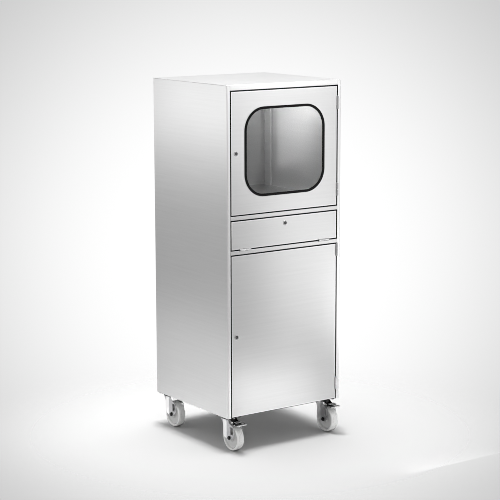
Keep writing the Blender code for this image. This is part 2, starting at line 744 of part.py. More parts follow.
def castor_fork(name, steel, has_brake):
    """Crown and two pressed legs in one piece, with ears for the brake pedal where it has one."""
    crown = turned(name, [
        (7 * MM, CROWN_DISH), (RACE_RADIUS + 1 * MM, CROWN_DISH),
        (RACE_RADIUS + 1 * MM, CROWN_TOP), (CROWN_RADIUS, CROWN_TOP),
        (CROWN_RADIUS, CROWN_TOP - CROWN), (7 * MM, CROWN_TOP - CROWN),
    ], CASTOR_STEPS, steel)
    tools = []
    for label, sign in (("left", -1), ("right", 1)):
        leg = flat_outline("%s_leg_%s" % (name, label), fork_leg_outline(), LEG,
                           collection=CUTTERS)
        leg.rotation_euler = (math.radians(90), 0, math.radians(90))
        leg.location = (sign * (LEG_INSIDE + LEG / 2), 0, 0)
        tools.append(leg)
        if has_brake:
            inner, outer = sorted((sign * (PEDAL_ARM_HALF + 2 * FIT),
                                   sign * (PEDAL_ARM_HALF + 2 * FIT + LEG)))
            tools.append(box("%s_ear_%s" % (name, label),
                             (inner, PEDAL_HINGE_Y - 5 * MM, PEDAL_HINGE_Z - 5 * MM),
                             (outer, -RACE_RADIUS, CROWN_DISH - FIT), collection=CUTTERS))
    for tool in tools:
        boolean(crown, tool, "UNION")
    radius = AXLE_RADIUS + FIT
    drill = turned(name + "_drill", [(0, 50 * MM), (radius, 50 * MM), (radius, -50 * MM),
                                     (0, -50 * MM)], 12, axis="X", collection=CUTTERS)
    drill.location = (0, -TRAIL, AXLE_Z)
    boolean(crown, drill)
    return crown, tools + [drill]


def castor_axle(name, steel):
    """Bolt across the fork, with its head on one side and its nut on the other."""
    outside = LEG_INSIDE + LEG + FIT
    head = 8.5 * MM
    axle = turned(name, [
        (0, outside + 6 * MM), (head - 1 * MM, outside + 6 * MM), (head, outside + 5 * MM),
        (head, outside), (AXLE_RADIUS, outside), (AXLE_RADIUS, -outside), (head, -outside),
        (head, -outside - 5 * MM), (head - 1 * MM, -outside - 6 * MM), (0, -outside - 6 * MM),
    ], 12, steel, axis="X")
    return axle


def castor_wheel(name, nylon):
    """One-piece wheel: crowned tread, rim, recessed web and hub."""
    bore = AXLE_RADIUS + 0.5 * MM
    hub = 16 * MM
    face = WHEEL_HALF
    hub_face = LEG_INSIDE - 1 * MM
    web = 9 * MM
    half = [
        (hub - 1 * MM, hub_face), (hub + 1 * MM, web), (WHEEL_RADIUS - 13 * MM, web),
        (WHEEL_RADIUS - 10 * MM, face - 1 * MM), (WHEEL_RADIUS - 6 * MM, face),
        (WHEEL_RADIUS - 1.5 * MM, face - 3 * MM), (WHEEL_RADIUS, 8 * MM),
    ]
    other_half = [(radius, -height) for radius, height in reversed(half)]
    profile = [(bore, hub_face), *half, *other_half, (bore, -hub_face)]
    return turned(name, profile, WHEEL_STEPS, nylon, axis="X")


def brake_pedal(name, steel):
    """Stamped pedal over the wheel: pin, arm, brake shoe, release tab and tread in one piece."""
    thick = 2.5 * MM
    arm_z = PEDAL_HINGE_Z - 8 * MM
    tread_z = PEDAL_HINGE_Z - 14 * MM
    half = PEDAL_ARM_HALF
    front_of_arm = -PEDAL_TIP + 40 * MM
    # name: low corner, high corner
    blocks = {
        "tread": ((-PEDAL_HALF, -PEDAL_TIP, tread_z),
                  (PEDAL_HALF, front_of_arm + 4 * MM, tread_z + thick)),
        "ramp": ((-half, front_of_arm - 6 * MM, tread_z), (half, front_of_arm + 3 * MM,
                                                            arm_z + thick)),
        "tab": ((-18 * MM, front_of_arm - 18 * MM, PEDAL_HINGE_Z - 5 * MM),
                (18 * MM, front_of_arm + 6 * MM, PEDAL_HINGE_Z - 5 * MM + thick)),
        "post": ((-6 * MM, front_of_arm, arm_z), (6 * MM, front_of_arm + 6 * MM,
                                                  PEDAL_HINGE_Z - 5 * MM + thick)),
        "heel": ((-half, PEDAL_HINGE_Y - 5 * MM, arm_z),
                 (half, PEDAL_HINGE_Y - 2 * MM, PEDAL_HINGE_Z)),
        "shoe": ((-10 * MM, PEDAL_HINGE_Y - 24 * MM, AXLE_Z + WHEEL_RADIUS - FIT),
                 (10 * MM, PEDAL_HINGE_Y - 12 * MM, arm_z + thick / 2)),
    }
    pedal = box(name, (-half, front_of_arm, arm_z), (half, PEDAL_HINGE_Y - 2 * MM, arm_z + thick),
                steel)
    tools = []
    for label, (low, high) in blocks.items():
        tools.append(box("%s_%s" % (name, label), low, high, collection=CUTTERS))
    pin = turned(name + "_pin", [(0, half), (PEDAL_PIN_RADIUS, half), (PEDAL_PIN_RADIUS, -half),
                                 (0, -half)], 12, axis="X", collection=CUTTERS)
    pin.location = (0, PEDAL_HINGE_Y, PEDAL_HINGE_Z)
    tools.append(pin)
    for tool in tools:
        boolean(pedal, tool, "UNION")
    return pedal, tools


def castor(prefix, x, y, has_brake, metals, nylon, datum):
    """Swivel castor; its wheel trails towards the cabinet's front."""
    steel, plated = metals
    place = Vector((x, y, 0))
    mount = empty(prefix + "_castor_mount", place, datum)
    plate, race = castor_plate(prefix + "_castor_plate", plated)
    for obj in (plate, race):
        obj.parent = mount
    swivel = empty(prefix + "_swivel_axis", place, datum)
    fork, tools = castor_fork(prefix + "_castor_fork", plated, has_brake)
    axle = castor_axle(prefix + "_castor_axle", plated)
    axle.location = (0, -TRAIL, AXLE_Z)
    wheel = castor_wheel(prefix + "_castor_wheel", nylon)
    wheel.location = (0, -TRAIL, AXLE_Z)
    pieces = [fork, axle, wheel, *tools]
    if has_brake:
        pedal, pedal_tools = brake_pedal(prefix + "_brake_pedal", steel)
        pedal_axis = empty(prefix + "_pedal_axis", (0, PEDAL_HINGE_Y, PEDAL_HINGE_Z), swivel)
        attach(pedal_axis, (0, PEDAL_HINGE_Y, PEDAL_HINGE_Z), pedal, *pedal_tools)
    for obj in pieces:
        obj.parent = swivel
    for obj in (plate, fork, axle, wheel):
        smooth(obj)


# ---------------------------------------------------------------- assembly

def main():
    clear_scene()
    steel = make_material("stainless_steel", (0.72, 0.72, 0.72), 0.32, 1.0)
    plated = make_material("plated_steel", (0.62, 0.62, 0.63), 0.28, 1.0)
    rubber = make_material("black_rubber", (0.02, 0.02, 0.02), 0.6, 0.0)
    glass = make_material("clear_glass", (0.85, 0.88, 0.88), 0.05, 0.0, alpha=0.3)
    nylon = make_material("white_nylon", (0.78, 0.78, 0.77), 0.45, 0.0)

    datum = empty("cabinet_datum", (0, DATUM_Y, CASTOR_HEIGHT))
    side_panels(steel)
    top_panel(steel)
    cross_rail("upper_rail", UPPER_RAIL_TOP - RAIL, steel)
    lower_rail = cross_rail("lower_rail", LOWER_RAIL_TOP - RAIL, steel)
    floors(steel)
    back_panel(steel)
    slotted_uprights(steel)

    door, pivot, place = hinged_door("upper_door", UPPER_DOOR_BOTTOM, UPPER_DOOR_TOP,
                                     UPPER_HINGES, UPPER_LOCK_Z, steel, plated, datum)
    window(door, pivot, place, rubber, glass)
    hinged_door("lower_door", LOWER_DOOR_BOTTOM, LOWER_DOOR_TOP, LOWER_HINGES, LOWER_LOCK_Z,
                steel, plated, datum)
    fold_down_flap(steel, plated, datum, lower_rail)

    for end, y in (("front", FRONT_SWIVEL_Y), ("rear", REAR_SWIVEL_Y)):
        for side, x in (("left", -SWIVEL_X), ("right", SWIVEL_X)):
            castor(end + "_" + side, x, y, end == "front", (steel, plated), nylon, datum)

    for collection in (COLLECTION, CUTTERS):
        for obj in bpy.data.collections[collection].objects:
            if obj.parent is None and obj is not datum:
                obj.parent = datum


main()
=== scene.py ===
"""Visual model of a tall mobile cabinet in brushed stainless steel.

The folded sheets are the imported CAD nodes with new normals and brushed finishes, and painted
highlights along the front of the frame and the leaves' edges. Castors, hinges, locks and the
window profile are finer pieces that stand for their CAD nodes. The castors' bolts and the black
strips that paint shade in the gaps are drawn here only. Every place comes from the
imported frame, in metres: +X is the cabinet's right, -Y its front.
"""

import math

import bmesh
import bpy
from mathutils import Matrix, Vector

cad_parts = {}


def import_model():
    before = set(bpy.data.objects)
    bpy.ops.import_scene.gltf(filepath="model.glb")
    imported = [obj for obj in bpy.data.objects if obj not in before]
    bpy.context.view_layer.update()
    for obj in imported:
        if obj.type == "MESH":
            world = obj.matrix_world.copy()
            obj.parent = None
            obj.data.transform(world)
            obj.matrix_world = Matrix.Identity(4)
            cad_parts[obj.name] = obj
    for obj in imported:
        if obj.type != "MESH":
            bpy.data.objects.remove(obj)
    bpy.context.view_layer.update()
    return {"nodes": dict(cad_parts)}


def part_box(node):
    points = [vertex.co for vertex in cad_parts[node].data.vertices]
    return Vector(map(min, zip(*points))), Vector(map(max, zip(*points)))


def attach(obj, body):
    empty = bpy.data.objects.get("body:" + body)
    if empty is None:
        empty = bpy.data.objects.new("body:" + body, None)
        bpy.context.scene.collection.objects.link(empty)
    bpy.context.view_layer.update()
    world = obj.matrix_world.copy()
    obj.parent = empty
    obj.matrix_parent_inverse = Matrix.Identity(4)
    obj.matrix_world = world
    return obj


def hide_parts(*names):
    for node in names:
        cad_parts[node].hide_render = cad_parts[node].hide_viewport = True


MM = 0.001
SHARP_ANGLE = 38              # degrees; edges that turn by more are drawn sharp

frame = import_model()
NODES = frame["nodes"]

CORNERS = ("front_left", "front_right", "rear_left", "rear_right")
BRAKED = ("front_left", "front_right")
HINGES = {
    # hinge: (body that carries its loose half, direction of its axis)
    "upper_door_hinge_top": ("upper_door", "z"), "upper_door_hinge_bottom": ("upper_door", "z"),
    "lower_door_hinge_top": ("lower_door", "z"), "lower_door_hinge_bottom": ("lower_door", "z"),
    "flap_hinge_left": ("flap", "x"), "flap_hinge_right": ("flap", "x"),
}


# ---------------------------------------------------------------- node helpers

class Tree:
    """Short calls for building a node tree."""

    def __init__(self, tree):
        self.tree = tree

    def node(self, kind, **values):
        made = self.tree.nodes.new(kind)
        for key, value in values.items():
            setattr(made, key, value)
        return made

    def link(self, source, target):
        self.tree.links.new(source, target)

    def feed(self, socket, value):
        if isinstance(value, bpy.types.NodeSocket):
            self.link(value, socket)
        else:
            socket.default_value = value

    def math(self, operation, first, second=0.0, clamp=False):
        made = self.node("ShaderNodeMath", operation=operation, use_clamp=clamp)
        self.feed(made.inputs[0], first)
        self.feed(made.inputs[1], second)
        return made.outputs[0]

    def spread(self, value, low, high):
        """Takes 0..1 to low..high."""
        return self.math("ADD", self.math("MULTIPLY", value, high - low), low)

    def step(self, value, start, end, low=0.0, high=1.0):
        """Smooth step from low at start to high at end."""
        made = self.node("ShaderNodeMapRange", interpolation_type="SMOOTHSTEP")
        for socket, number in zip(made.inputs, (value, start, end, low, high)):
            self.feed(socket, number)
        return made.outputs["Result"]

    def grey(self, value):
        made = self.node("ShaderNodeCombineColor")
        for socket in made.inputs:
            self.link(value, socket)
        return made.outputs[0]

    def tint(self, factor, dark, light):
        made = self.node("ShaderNodeMix", data_type="RGBA")
        self.feed(made.inputs["Factor"], factor)
        for name, colour in (("A", dark), ("B", light)):
            socket = next(each for each in made.inputs
                          if each.name == name and each.type == "RGBA")
            self.feed(socket, (*colour, 1.0) if isinstance(colour, tuple) else colour)
        return next(each for each in made.outputs if each.type == "RGBA")

    def facing(self):
        """0 where a surface faces the eye, 1 where it turns away: changes with the view."""
        return self.node("ShaderNodeLayerWeight").outputs["Facing"]

    def between(self, value, low, high, blur):
        """1 from low to high, with soft ends."""
        return self.math("MULTIPLY", self.step(value, low - blur, low + blur),
                         self.step(value, high - blur, high + blur, 1.0, 0.0))

    def place(self):
        """Object coordinates as three values and as one vector."""
        coordinates = self.node("ShaderNodeTexCoord").outputs["Object"]
        split = self.node("ShaderNodeSeparateXYZ")
        self.link(coordinates, split.inputs[0])
        return split.outputs[0], split.outputs[1], split.outputs[2], coordinates

    def vector(self, x, y, z=0.0):
        made = self.node("ShaderNodeCombineXYZ")
        for socket, value in zip(made.inputs, (x, y, z)):
            self.feed(socket, value)
        return made.outputs[0]

    def noise(self, vector, scale=1.0, detail=2.0, roughness=0.5):
        made = self.node("ShaderNodeTexNoise", noise_dimensions="3D")
        self.link(vector, made.inputs["Vector"])
        made.inputs["Scale"].default_value = scale
        made.inputs["Detail"].default_value = detail
        made.inputs["Roughness"].default_value = roughness
        return made.outputs["Fac"]

    def bump(self, height, strength, distance):
        made = self.node("ShaderNodeBump")
        made.inputs["Strength"].default_value = strength
        made.inputs["Distance"].default_value = distance
        self.link(height, made.inputs["Height"])
        return made.outputs["Normal"]


def material(name, **values):
    """A Principled material and its tree; values are the shader's plain sockets."""
    made = bpy.data.materials.new(name)
    made.use_nodes = True
    shader = made.node_tree.nodes["Principled BSDF"]
    for key, value in values.items():
        shader.inputs[key.replace("_", " ")].default_value = value
    return made, Tree(made.node_tree), shader


# ---------------------------------------------------------------- materials

# colour of painted highlights: the frame's front, the leaves' edges and the forks' ribs
PAINTED_HIGHLIGHT_STEEL = (0.97, 0.97, 0.97)


def brushed_steel(name, flat=False, front=False, leaf=None, light=1.0):
    """Stainless sheet brushed along one horizontal direction.

    Walls are brushed round the cabinet, so the grain changes only with height. Flat decks are
    brushed from side to side. A painted highlight brightens the front of the frame where front is
    true, and a band along the edges of a leaf, whose width and height are given.
    light scales the tone.
    """
    made, tree, shader = material(name, Metallic=1.0, Anisotropic=0.0 if flat else 0.55,
                                  Anisotropic_Rotation=0.25)
    x, y, z, place = tree.place()
    if flat:
        along, across = x, tree.math("ADD", y, z)
    else:
        along, across = tree.math("ADD", x, y), z
    hair = tree.noise(tree.vector(tree.math("MULTIPLY", along, 7.0),
                                  tree.math("MULTIPLY", across, 650.0)), detail=3.0)
    band = tree.noise(tree.vector(tree.math("MULTIPLY", along, 2.2),
                                  tree.math("MULTIPLY", across, 85.0), 3.0), detail=3.0,
                      roughness=0.6)
    cloud = tree.noise(place, scale=3.5, detail=2.0)
    grain = tree.math("ADD", tree.math("MULTIPLY", hair, 0.45),
                      tree.math("MULTIPLY", band, 0.55))
    worn = tree.math("ADD", tree.math("MULTIPLY", grain, 0.75),
                     tree.math("MULTIPLY", cloud, 0.25))
    tone = tree.tint(tree.step(grain, 0.3, 0.7), (0.765 * light,) * 3, (0.805 * light,) * 3)
    share = tree.node("ShaderNodeSeparateXYZ")  # of the node's width, depth and height
    tree.link(tree.node("ShaderNodeTexCoord").outputs["Generated"], share.inputs[0])
    # painted highlight over the front of the frame
    if front:
        painted_highlight = tree.step(share.outputs[1], 0.004, 0.006, 1.0, 0.0)
        tone = tree.tint(painted_highlight, tone, PAINTED_HIGHLIGHT_STEEL)
    # painted highlight in a band 3 to 7 mm in from a leaf's edges
    if leaf:
        inward = []
        for part, size in zip((share.outputs[0], share.outputs[2]), leaf):
            nearer = tree.math("MINIMUM", part, tree.math("SUBTRACT", 1.0, part))
            inward.append(tree.math("MULTIPLY", nearer, size))
        painted_highlight = tree.step(tree.math("MINIMUM", *inward), 3 * MM, 7 * MM, 1.0, 0.0)
        tone = tree.tint(painted_highlight, tone, PAINTED_HIGHLIGHT_STEEL)
    tree.link(tone, shader.inputs["Base Color"])
    tree.link(tree.spread(worn, 0.24, 0.38), shader.inputs["Roughness"])
    tree.link(tree.bump(grain, 0.1, 0.12 * MM), shader.inputs["Normal"])
    return made


def plated_steel(name, dark, light, rough_low, rough_high):
    """Zinc-plated pressings and turned parts: slightly cloudy, with fine handling marks."""
    made, tree, shader = material(name, Metallic=1.0)
    place = tree.place()[3]
    cloud = tree.noise(place, scale=60.0, detail=4.0, roughness=0.6)
    speck = tree.noise(place, scale=900.0, detail=2.0)
    mixed = tree.math("ADD", tree.math("MULTIPLY", cloud, 0.7), tree.math("MULTIPLY", speck, 0.3))
    tree.link(tree.tint(tree.step(mixed, 0.35, 0.65), dark, light), shader.inputs["Base Color"])
    tree.link(tree.spread(mixed, rough_low, rough_high), shader.inputs["Roughness"])
    tree.link(tree.bump(speck, 0.15, 0.1 * MM), shader.inputs["Normal"])
    return made


def pressed_fork(name):
    """Plated fork: painted highlight on each leg's rib, darker metal beside it, painted shade on
    the crown.

    Its outlines darken with the viewing angle as painted shade. They are no geometry and slide
    with the view.
    """
    made, tree, shader = material(name, Metallic=1.0)
    _, y, z, place = tree.place()
    cloud = tree.noise(place, scale=60.0, detail=4.0, roughness=0.6)
    # painted highlight on the rib down each leg
    rib = tree.between(y, -19 * MM, 8 * MM, 1.5 * MM)
    # painted shade on the outlines, changing with the viewing angle
    edge = tree.step(tree.facing(), 0.6, 0.9)
    # painted shade on the crown under the cabinet
    crown = tree.step(z, -17 * MM, -14.5 * MM)
    painted_rib_highlight = tree.tint(rib, (0.52, 0.52, 0.53), PAINTED_HIGHLIGHT_STEEL)
    # painted shade: crown and outlines go near-black
    dark = tree.math("MAXIMUM", crown, edge)
    tree.link(tree.tint(dark, painted_rib_highlight, (0.05, 0.05, 0.05)), shader.inputs["Base Color"])
    tree.link(tree.spread(cloud, 0.24, 0.42), shader.inputs["Roughness"])
    return made


def pressed_pedal(name):
    """Pedal with painted highlights on its treads and painted shade on its arm."""
    made, tree, shader = material(name, Metallic=1.0)
    _, y, z, place = tree.place()
    cloud = tree.noise(place, scale=60.0, detail=4.0, roughness=0.6)
    # painted highlight on the tab above the tread
    tab = tree.math("MULTIPLY", tree.step(z, -19.6 * MM, -18.8 * MM),
                    tree.step(y, -66 * MM, -64 * MM, 1.0, 0.0))
    # painted highlights on a ridge of the tread and on its tip
    ridge = tree.math("MAXIMUM", tree.between(y, -90 * MM, -84 * MM, 1 * MM),
                      tree.step(y, -105 * MM, -103 * MM, 1.0, 0.0))
    painted_highlight = tree.math("MAXIMUM", tab, ridge)
    # the rest of the pedal is painted near-black as shade
    tree.link(tree.tint(painted_highlight, (0.03, 0.03, 0.03), (0.95, 0.95, 0.95)),
              shader.inputs["Base Color"])
    tree.link(tree.spread(cloud, 0.2, 0.35), shader.inputs["Roughness"])
    return made


def moulded_nylon(name):
    """Off-white moulded polyamide with painted shade on the recessed web, scuffed where the tread
    meets the floor.

    Its outlines darken with the viewing angle as painted shade. They are no geometry and slide
    with the view.
    """
    made, tree, shader = material(name, Specular_IOR_Level=0.45)
    _, y, z, place = tree.place()
    radius = tree.math("SQRT", tree.math("ADD", tree.math("MULTIPLY", y, y),
                                         tree.math("MULTIPLY", z, z)))
    tread = tree.step(radius, 60.8 * MM, 62.3 * MM)
    scuff = tree.step(tree.noise(place, scale=140.0, detail=5.0, roughness=0.7), 0.42, 0.7)
    marks = tree.math("MULTIPLY", tread, scuff)
    # painted shade: the recessed web inside the rim is greyer
    rim = tree.step(radius, 49 * MM, 51 * MM)
    tone_with_web_shade = tree.tint(rim, (0.66, 0.66, 0.655), (0.86, 0.86, 0.85))
    # painted shade on the outlines, changing with the viewing angle
    edge = tree.step(tree.facing(), 0.55, 0.85)
    tree.link(tree.tint(edge, tree.tint(marks, tone_with_web_shade, (0.66, 0.66, 0.65)), (0.12, 0.12, 0.12)),
              shader.inputs["Base Color"])
    tree.link(tree.spread(tree.math("ADD", marks, tree.noise(place, scale=30.0)), 0.34, 0.5),
              shader.inputs["Roughness"])
    tree.link(tree.bump(tree.noise(place, scale=700.0, detail=3.0), 0.12, 0.15 * MM),
              shader.inputs["Normal"])
    return made


def rubber(name):
    """Black rubber with a faint bloom."""
    made, tree, shader = material(name, Specular_IOR_Level=0.15)
    place = tree.place()[3]
    bloom = tree.noise(place, scale=45.0, detail=4.0)
    tree.link(tree.tint(bloom, (0.004, 0.004, 0.004), (0.010, 0.010, 0.010)),
              shader.inputs["Base Color"])
    tree.link(tree.spread(bloom, 0.42, 0.62), shader.inputs["Roughness"])
    tree.link(tree.bump(tree.noise(place, scale=1500.0), 0.2, 0.1 * MM), shader.inputs["Normal"])
    return made


def pane_glass(name):
    """Thin clear pane: lets light straight through and mirrors a little."""
    made, tree, shader = material(name, Alpha=0.12, Specular_IOR_Level=0.9)
    place = tree.place()[3]
    haze = tree.noise(place, scale=6.0, detail=3.0)
    tree.link(tree.tint(haze, (0.02, 0.021, 0.021), (0.03, 0.031, 0.031)),
              shader.inputs["Base Color"])
    tree.link(tree.spread(haze, 0.03, 0.07), shader.inputs["Roughness"])
    return made


WALL = brushed_steel("brushed_steel_walls")
DECK = brushed_steel("brushed_steel_decks", flat=True)
# darker copy of the deck steel (light=0.34): painted shade on the upper compartment's floor
PAINTED_SHADE_DECK = brushed_steel("dull_steel_deck", flat=True, light=0.34)
# front=True paints a highlight over the front of the frame
SIDE = brushed_steel("brushed_steel_sides", front=True)
ROOF = brushed_steel("brushed_steel_roof", flat=True, front=True)
LEAVES = {}
# each leaf's steel has a painted highlight along its edges
for leaf_name in ("upper_door", "flap", "lower_door"):
    leaf_low, leaf_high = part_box(leaf_name)
    LEAVES[leaf_name] = brushed_steel("brushed_steel_" + leaf_name,
                                      leaf=(leaf_high.x - leaf_low.x, leaf_high.z - leaf_low.z))
ZINC = plated_steel("zinc_plated_steel", (0.58, 0.58, 0.59), (0.72, 0.72, 0.73), 0.24, 0.42)
POLISHED = plated_steel("polished_steel", (0.70, 0.70, 0.71), (0.80, 0.80, 0.80), 0.14, 0.26)
# dark steel that paints shade: in the locks' recesses and on the castors' bolts under the cabinet
PAINTED_SHADE_STEEL = plated_steel("darkened_steel", (0.16, 0.16, 0.16), (0.26, 0.26, 0.26), 0.35, 0.55)
# near-black steel; on the castors' mounting plates it paints shade under the cabinet
NEAR_BLACK_STEEL = plated_steel("blackened_steel", (0.02, 0.02, 0.02), (0.05, 0.05, 0.05), 0.4, 0.6)
FORK = pressed_fork("pressed_fork_steel")
PEDAL = pressed_pedal("pressed_pedal_steel")
NYLON = moulded_nylon("moulded_nylon")
# black rubber of the window profile; also the black of the strips that paint shade in the gaps
RUBBER_AND_GAP_SHADE_BLACK = rubber("black_rubber_profile")
GLASS = pane_glass("clear_pane")


# ---------------------------------------------------------------- mesh helpers

ALONG_X = Matrix.Rotation(math.radians(90), 4, "Y")     # local Z lies along +X
ALONG_Z = Matrix.Identity(4)
FACING_FRONT = Matrix.Rotation(math.radians(90), 4, "X")  # local Z points to -Y, Y to +Z
# local Z points to +X, X to +Y and Y to +Z
SIDE_ON = Matrix(((0, 0, 1, 0), (1, 0, 0, 0), (0, 1, 0, 0), (0, 0, 0, 1)))


def arc(centre, radius, start, end, steps):
    """Points on an arc, angles in degrees."""
    points = []
    for step in range(steps + 1):
        angle = math.radians(start + (end - start) * step / steps)
        points.append((centre[0] + radius * math.cos(angle),
                       centre[1] + radius * math.sin(angle)))
    return points


def rounded_rectangle(half_x, half_y, radius, steps=8):
    """Points round a rectangle about the origin, steps to each corner."""
    points = []
    for x, y, start in ((1, 1, 0), (-1, 1, 90), (-1, -1, 180), (1, -1, 270)):
        centre = (x * (half_x - radius), y * (half_y - radius))
        points += arc(centre, radius, start, start + 90, steps)
    return points


class Solid:
    """Closed bodies gathered into one mesh."""

    def __init__(self):
        self.bm = bmesh.new()

    def take(self, part, matrix):
        """Moves a bmesh into this one, placed by matrix."""
        bmesh.ops.recalc_face_normals(part, faces=part.faces)
        part.transform(matrix)
        scratch = bpy.data.meshes.new("scratch")
        part.to_mesh(scratch)
        part.free()
        self.bm.from_mesh(scratch)
        bpy.data.meshes.remove(scratch)

    def turned(self, profile, steps, matrix=ALONG_Z):
        """Solid of revolution about local Z; profile holds (radius, height) pairs.

        A profile that starts on the axis is a solid, any other is closed into a ring.
        """
        part = bmesh.new()
        rings = []
        for radius, height in profile:
            if radius < 1e-9:
                rings.append([part.verts.new((0, 0, height))])
                continue
            ring = []
            for step in range(steps):
                angle = math.tau * step / steps
                ring.append(part.verts.new((radius * math.cos(angle),
                                            radius * math.sin(angle), height)))
            rings.append(ring)
        pairs = list(zip(rings, rings[1:]))
        if profile[0][0] > 1e-9:
            pairs.append((rings[-1], rings[0]))
        for one, other in pairs:
            for i in range(steps):
                j = (i + 1) % steps
                corners = [one[i % len(one)], one[j % len(one)],
                           other[j % len(other)], other[i % len(other)]]
                unique = list(dict.fromkeys(corners))
                if len(unique) > 2:
                    part.faces.new(unique)
        self.take(part, matrix)
        return self

    def plate(self, outline, low, high, matrix=ALONG_Z, bevel=0.0):
        """Outline in local XY, extruded from low to high, with softened rims."""
        part = bmesh.new()
        bottom = [part.verts.new((x, y, low)) for x, y in outline]
        top = [part.verts.new((x, y, high)) for x, y in outline]
        part.faces.new(bottom)
        part.faces.new(top)
        count = len(outline)
        for i in range(count):
            j = (i + 1) % count
            part.faces.new((bottom[i], bottom[j], top[j], top[i]))
        if bevel:
            rims = [e for e in part.edges
                    if abs(e.verts[0].co.z - e.verts[1].co.z) < 1e-9]
            bmesh.ops.bevel(part, geom=rims, offset=bevel, segments=2, profile=0.5,
                            affect="EDGES", clamp_overlap=True)
        self.take(part, matrix)
        return self

    def shell(self, outer, inner, matrix=ALONG_Z, bevel=0.0, opening=None):
        """Two matching grids of points, closed round their rim into one body.

        opening holds the first and last row, then the first and last column, of a hole.
        """
        part = bmesh.new()
        faces = [[[part.verts.new(p) for p in row] for row in grid] for grid in (outer, inner)]
        rows, columns = len(outer), len(outer[0])
        r0, r1, c0, c1 = opening or (rows, rows, columns, columns)
        for grid in faces:
            for r in range(rows - 1):
                for c in range(columns - 1):
                    if not (r0 <= r < r1 and c0 <= c < c1):
                        part.faces.new((grid[r][c], grid[r][c + 1],
                                        grid[r + 1][c + 1], grid[r + 1][c]))
        rim = ([(0, c) for c in range(columns)] + [(r, columns - 1) for r in range(1, rows)]
               + [(rows - 1, c) for c in range(columns - 2, -1, -1)]
               + [(r, 0) for r in range(rows - 2, 0, -1)])
        hole = ([(r0, c) for c in range(c0, c1)] + [(r, c1) for r in range(r0, r1)]
                + [(r1, c) for c in range(c1, c0, -1)] + [(r, c0) for r in range(r1, r0, -1)])
        front, back = faces
        for loop in (rim, hole):
            for (r, c), (r2, c2) in zip(loop, loop[1:] + loop[:1]):
                part.faces.new((front[r][c], front[r2][c2], back[r2][c2], back[r][c]))
        bmesh.ops.recalc_face_normals(part, faces=part.faces)
        if bevel:
            sharp = [e for e in part.edges if e.calc_face_angle(0) > math.radians(50)]
            bmesh.ops.bevel(part, geom=sharp, offset=bevel, segments=2, profile=0.5,
                            affect="EDGES", clamp_overlap=True)
        self.take(part, matrix)
        return self

    def hexagon(self, flats, low, high, matrix):
        """Hexagonal head or nut with chamfered corners."""
        corner = flats / math.sqrt(3)
        chamfer = min(0.12 * flats, 0.3 * (high - low))
        outline = arc((0, 0), corner, 0, 300, 5)
        part = bmesh.new()
        loops = []
        for scale, height in ((0.88, low), (1, low + 0.5 * chamfer), (1, high - 0.5 * chamfer),
                              (0.88, high)):
            loops.append([part.verts.new((x * scale, y * scale, height)) for x, y in outline])
        for one, other in zip(loops, loops[1:]):
            for i in range(6):
                j = (i + 1) % 6
                part.faces.new((one[i], one[j], other[j], other[i]))
        part.faces.new(loops[0])
        part.faces.new(loops[-1])
        self.take(part, matrix)
        return self

    def done(self, name, body, finish, stands_for=(), centre=None, angle=SHARP_ANGLE):
        """Makes the piece, with its origin at centre, riding on body."""
        if centre is not None:
            self.bm.transform(Matrix.Translation(-Vector(centre)))
        mesh = bpy.data.meshes.new(name)
        self.bm.to_mesh(mesh)
        self.bm.free()
        mesh.materials.append(finish)
        mesh.shade_smooth()
        mesh.set_sharp_from_angle(angle=math.radians(angle))
        piece = bpy.data.objects.new(name, mesh)
        bpy.context.scene.collection.objects.link(piece)
        if centre is not None:
            piece.location = centre
        normals = piece.modifiers.new("flat_faces_stay_flat", "WEIGHTED_NORMAL")
        normals.keep_sharp = True
        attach(piece, body)
        if stands_for:
            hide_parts(*stands_for)
        return piece


def middle(node):
    """Centre of a CAD node's box."""
    low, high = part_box(node)
    return (low + high) / 2


# ---------------------------------------------------------------- folded sheets

SHEETS = {
    WALL: ("upper_rail", "lower_rail", "back_panel", "upright_front_left",
           "upright_front_right", "upright_rear_left", "upright_rear_right"),
    SIDE: ("left_side", "right_side"),
    ROOF: ("top_panel",),
    PAINTED_SHADE_DECK: ("monitor_floor",),
    DECK: ("keyboard_floor", "base_tray"),
    **{finish: (leaf_name,) for leaf_name, finish in LEAVES.items()},
    GLASS: ("window_pane",),
}


def dress_sheets():
    """Carried-over CAD sheets: smooth bends, crisp edges, flat faces and a new finish."""
    for finish, names in SHEETS.items():
        for name in names:
            node = NODES[name]
            node.material_slots[0].material = finish
            node.data.shade_smooth()
            weld = node.modifiers.new("weld", "WELD")
            weld.merge_threshold = 0.005 * MM
            split = node.modifiers.new("sheet_edges", "EDGE_SPLIT")
            split.split_angle = math.radians(SHARP_ANGLE)
            split.use_edge_sharp = False
            normals = node.modifiers.new("flat_faces_stay_flat", "WEIGHTED_NORMAL")
            normals.keep_sharp = True


# ---------------------------------------------------------------- window profile

PROFILE_SECTION = (
    # outward from the profile's middle line, forward from its middle plane, in mm
    (5.8, 1.05), (5.75, 2.3), (5.3, 3.1), (4.4, 3.6), (3.2, 3.75), (1.3, 3.75), (1.0, 3.3),
    (0.3, 3.3), (0.0, 3.75), (-2.6, 3.75), (-4.2, 3.45), (-5.3, 2.9), (-5.8, 2.35),
    (-1.4, 2.3), (-1.4, -2.3), (-5.8, -2.35), (-5.3, -2.9), (-4.2, -3.45), (-2.6, -3.75),
    (3.2, -3.75), (4.4, -3.6), (5.3, -3.1), (5.75, -2.3), (5.8, -1.05), (1.4, -1.05),
    (1.4, 1.05),
)
PROFILE_HALF = 5.8 * MM       # from its middle line to its edges
WINDOW_RADIUS = 101 * MM      # of the middle line's corners


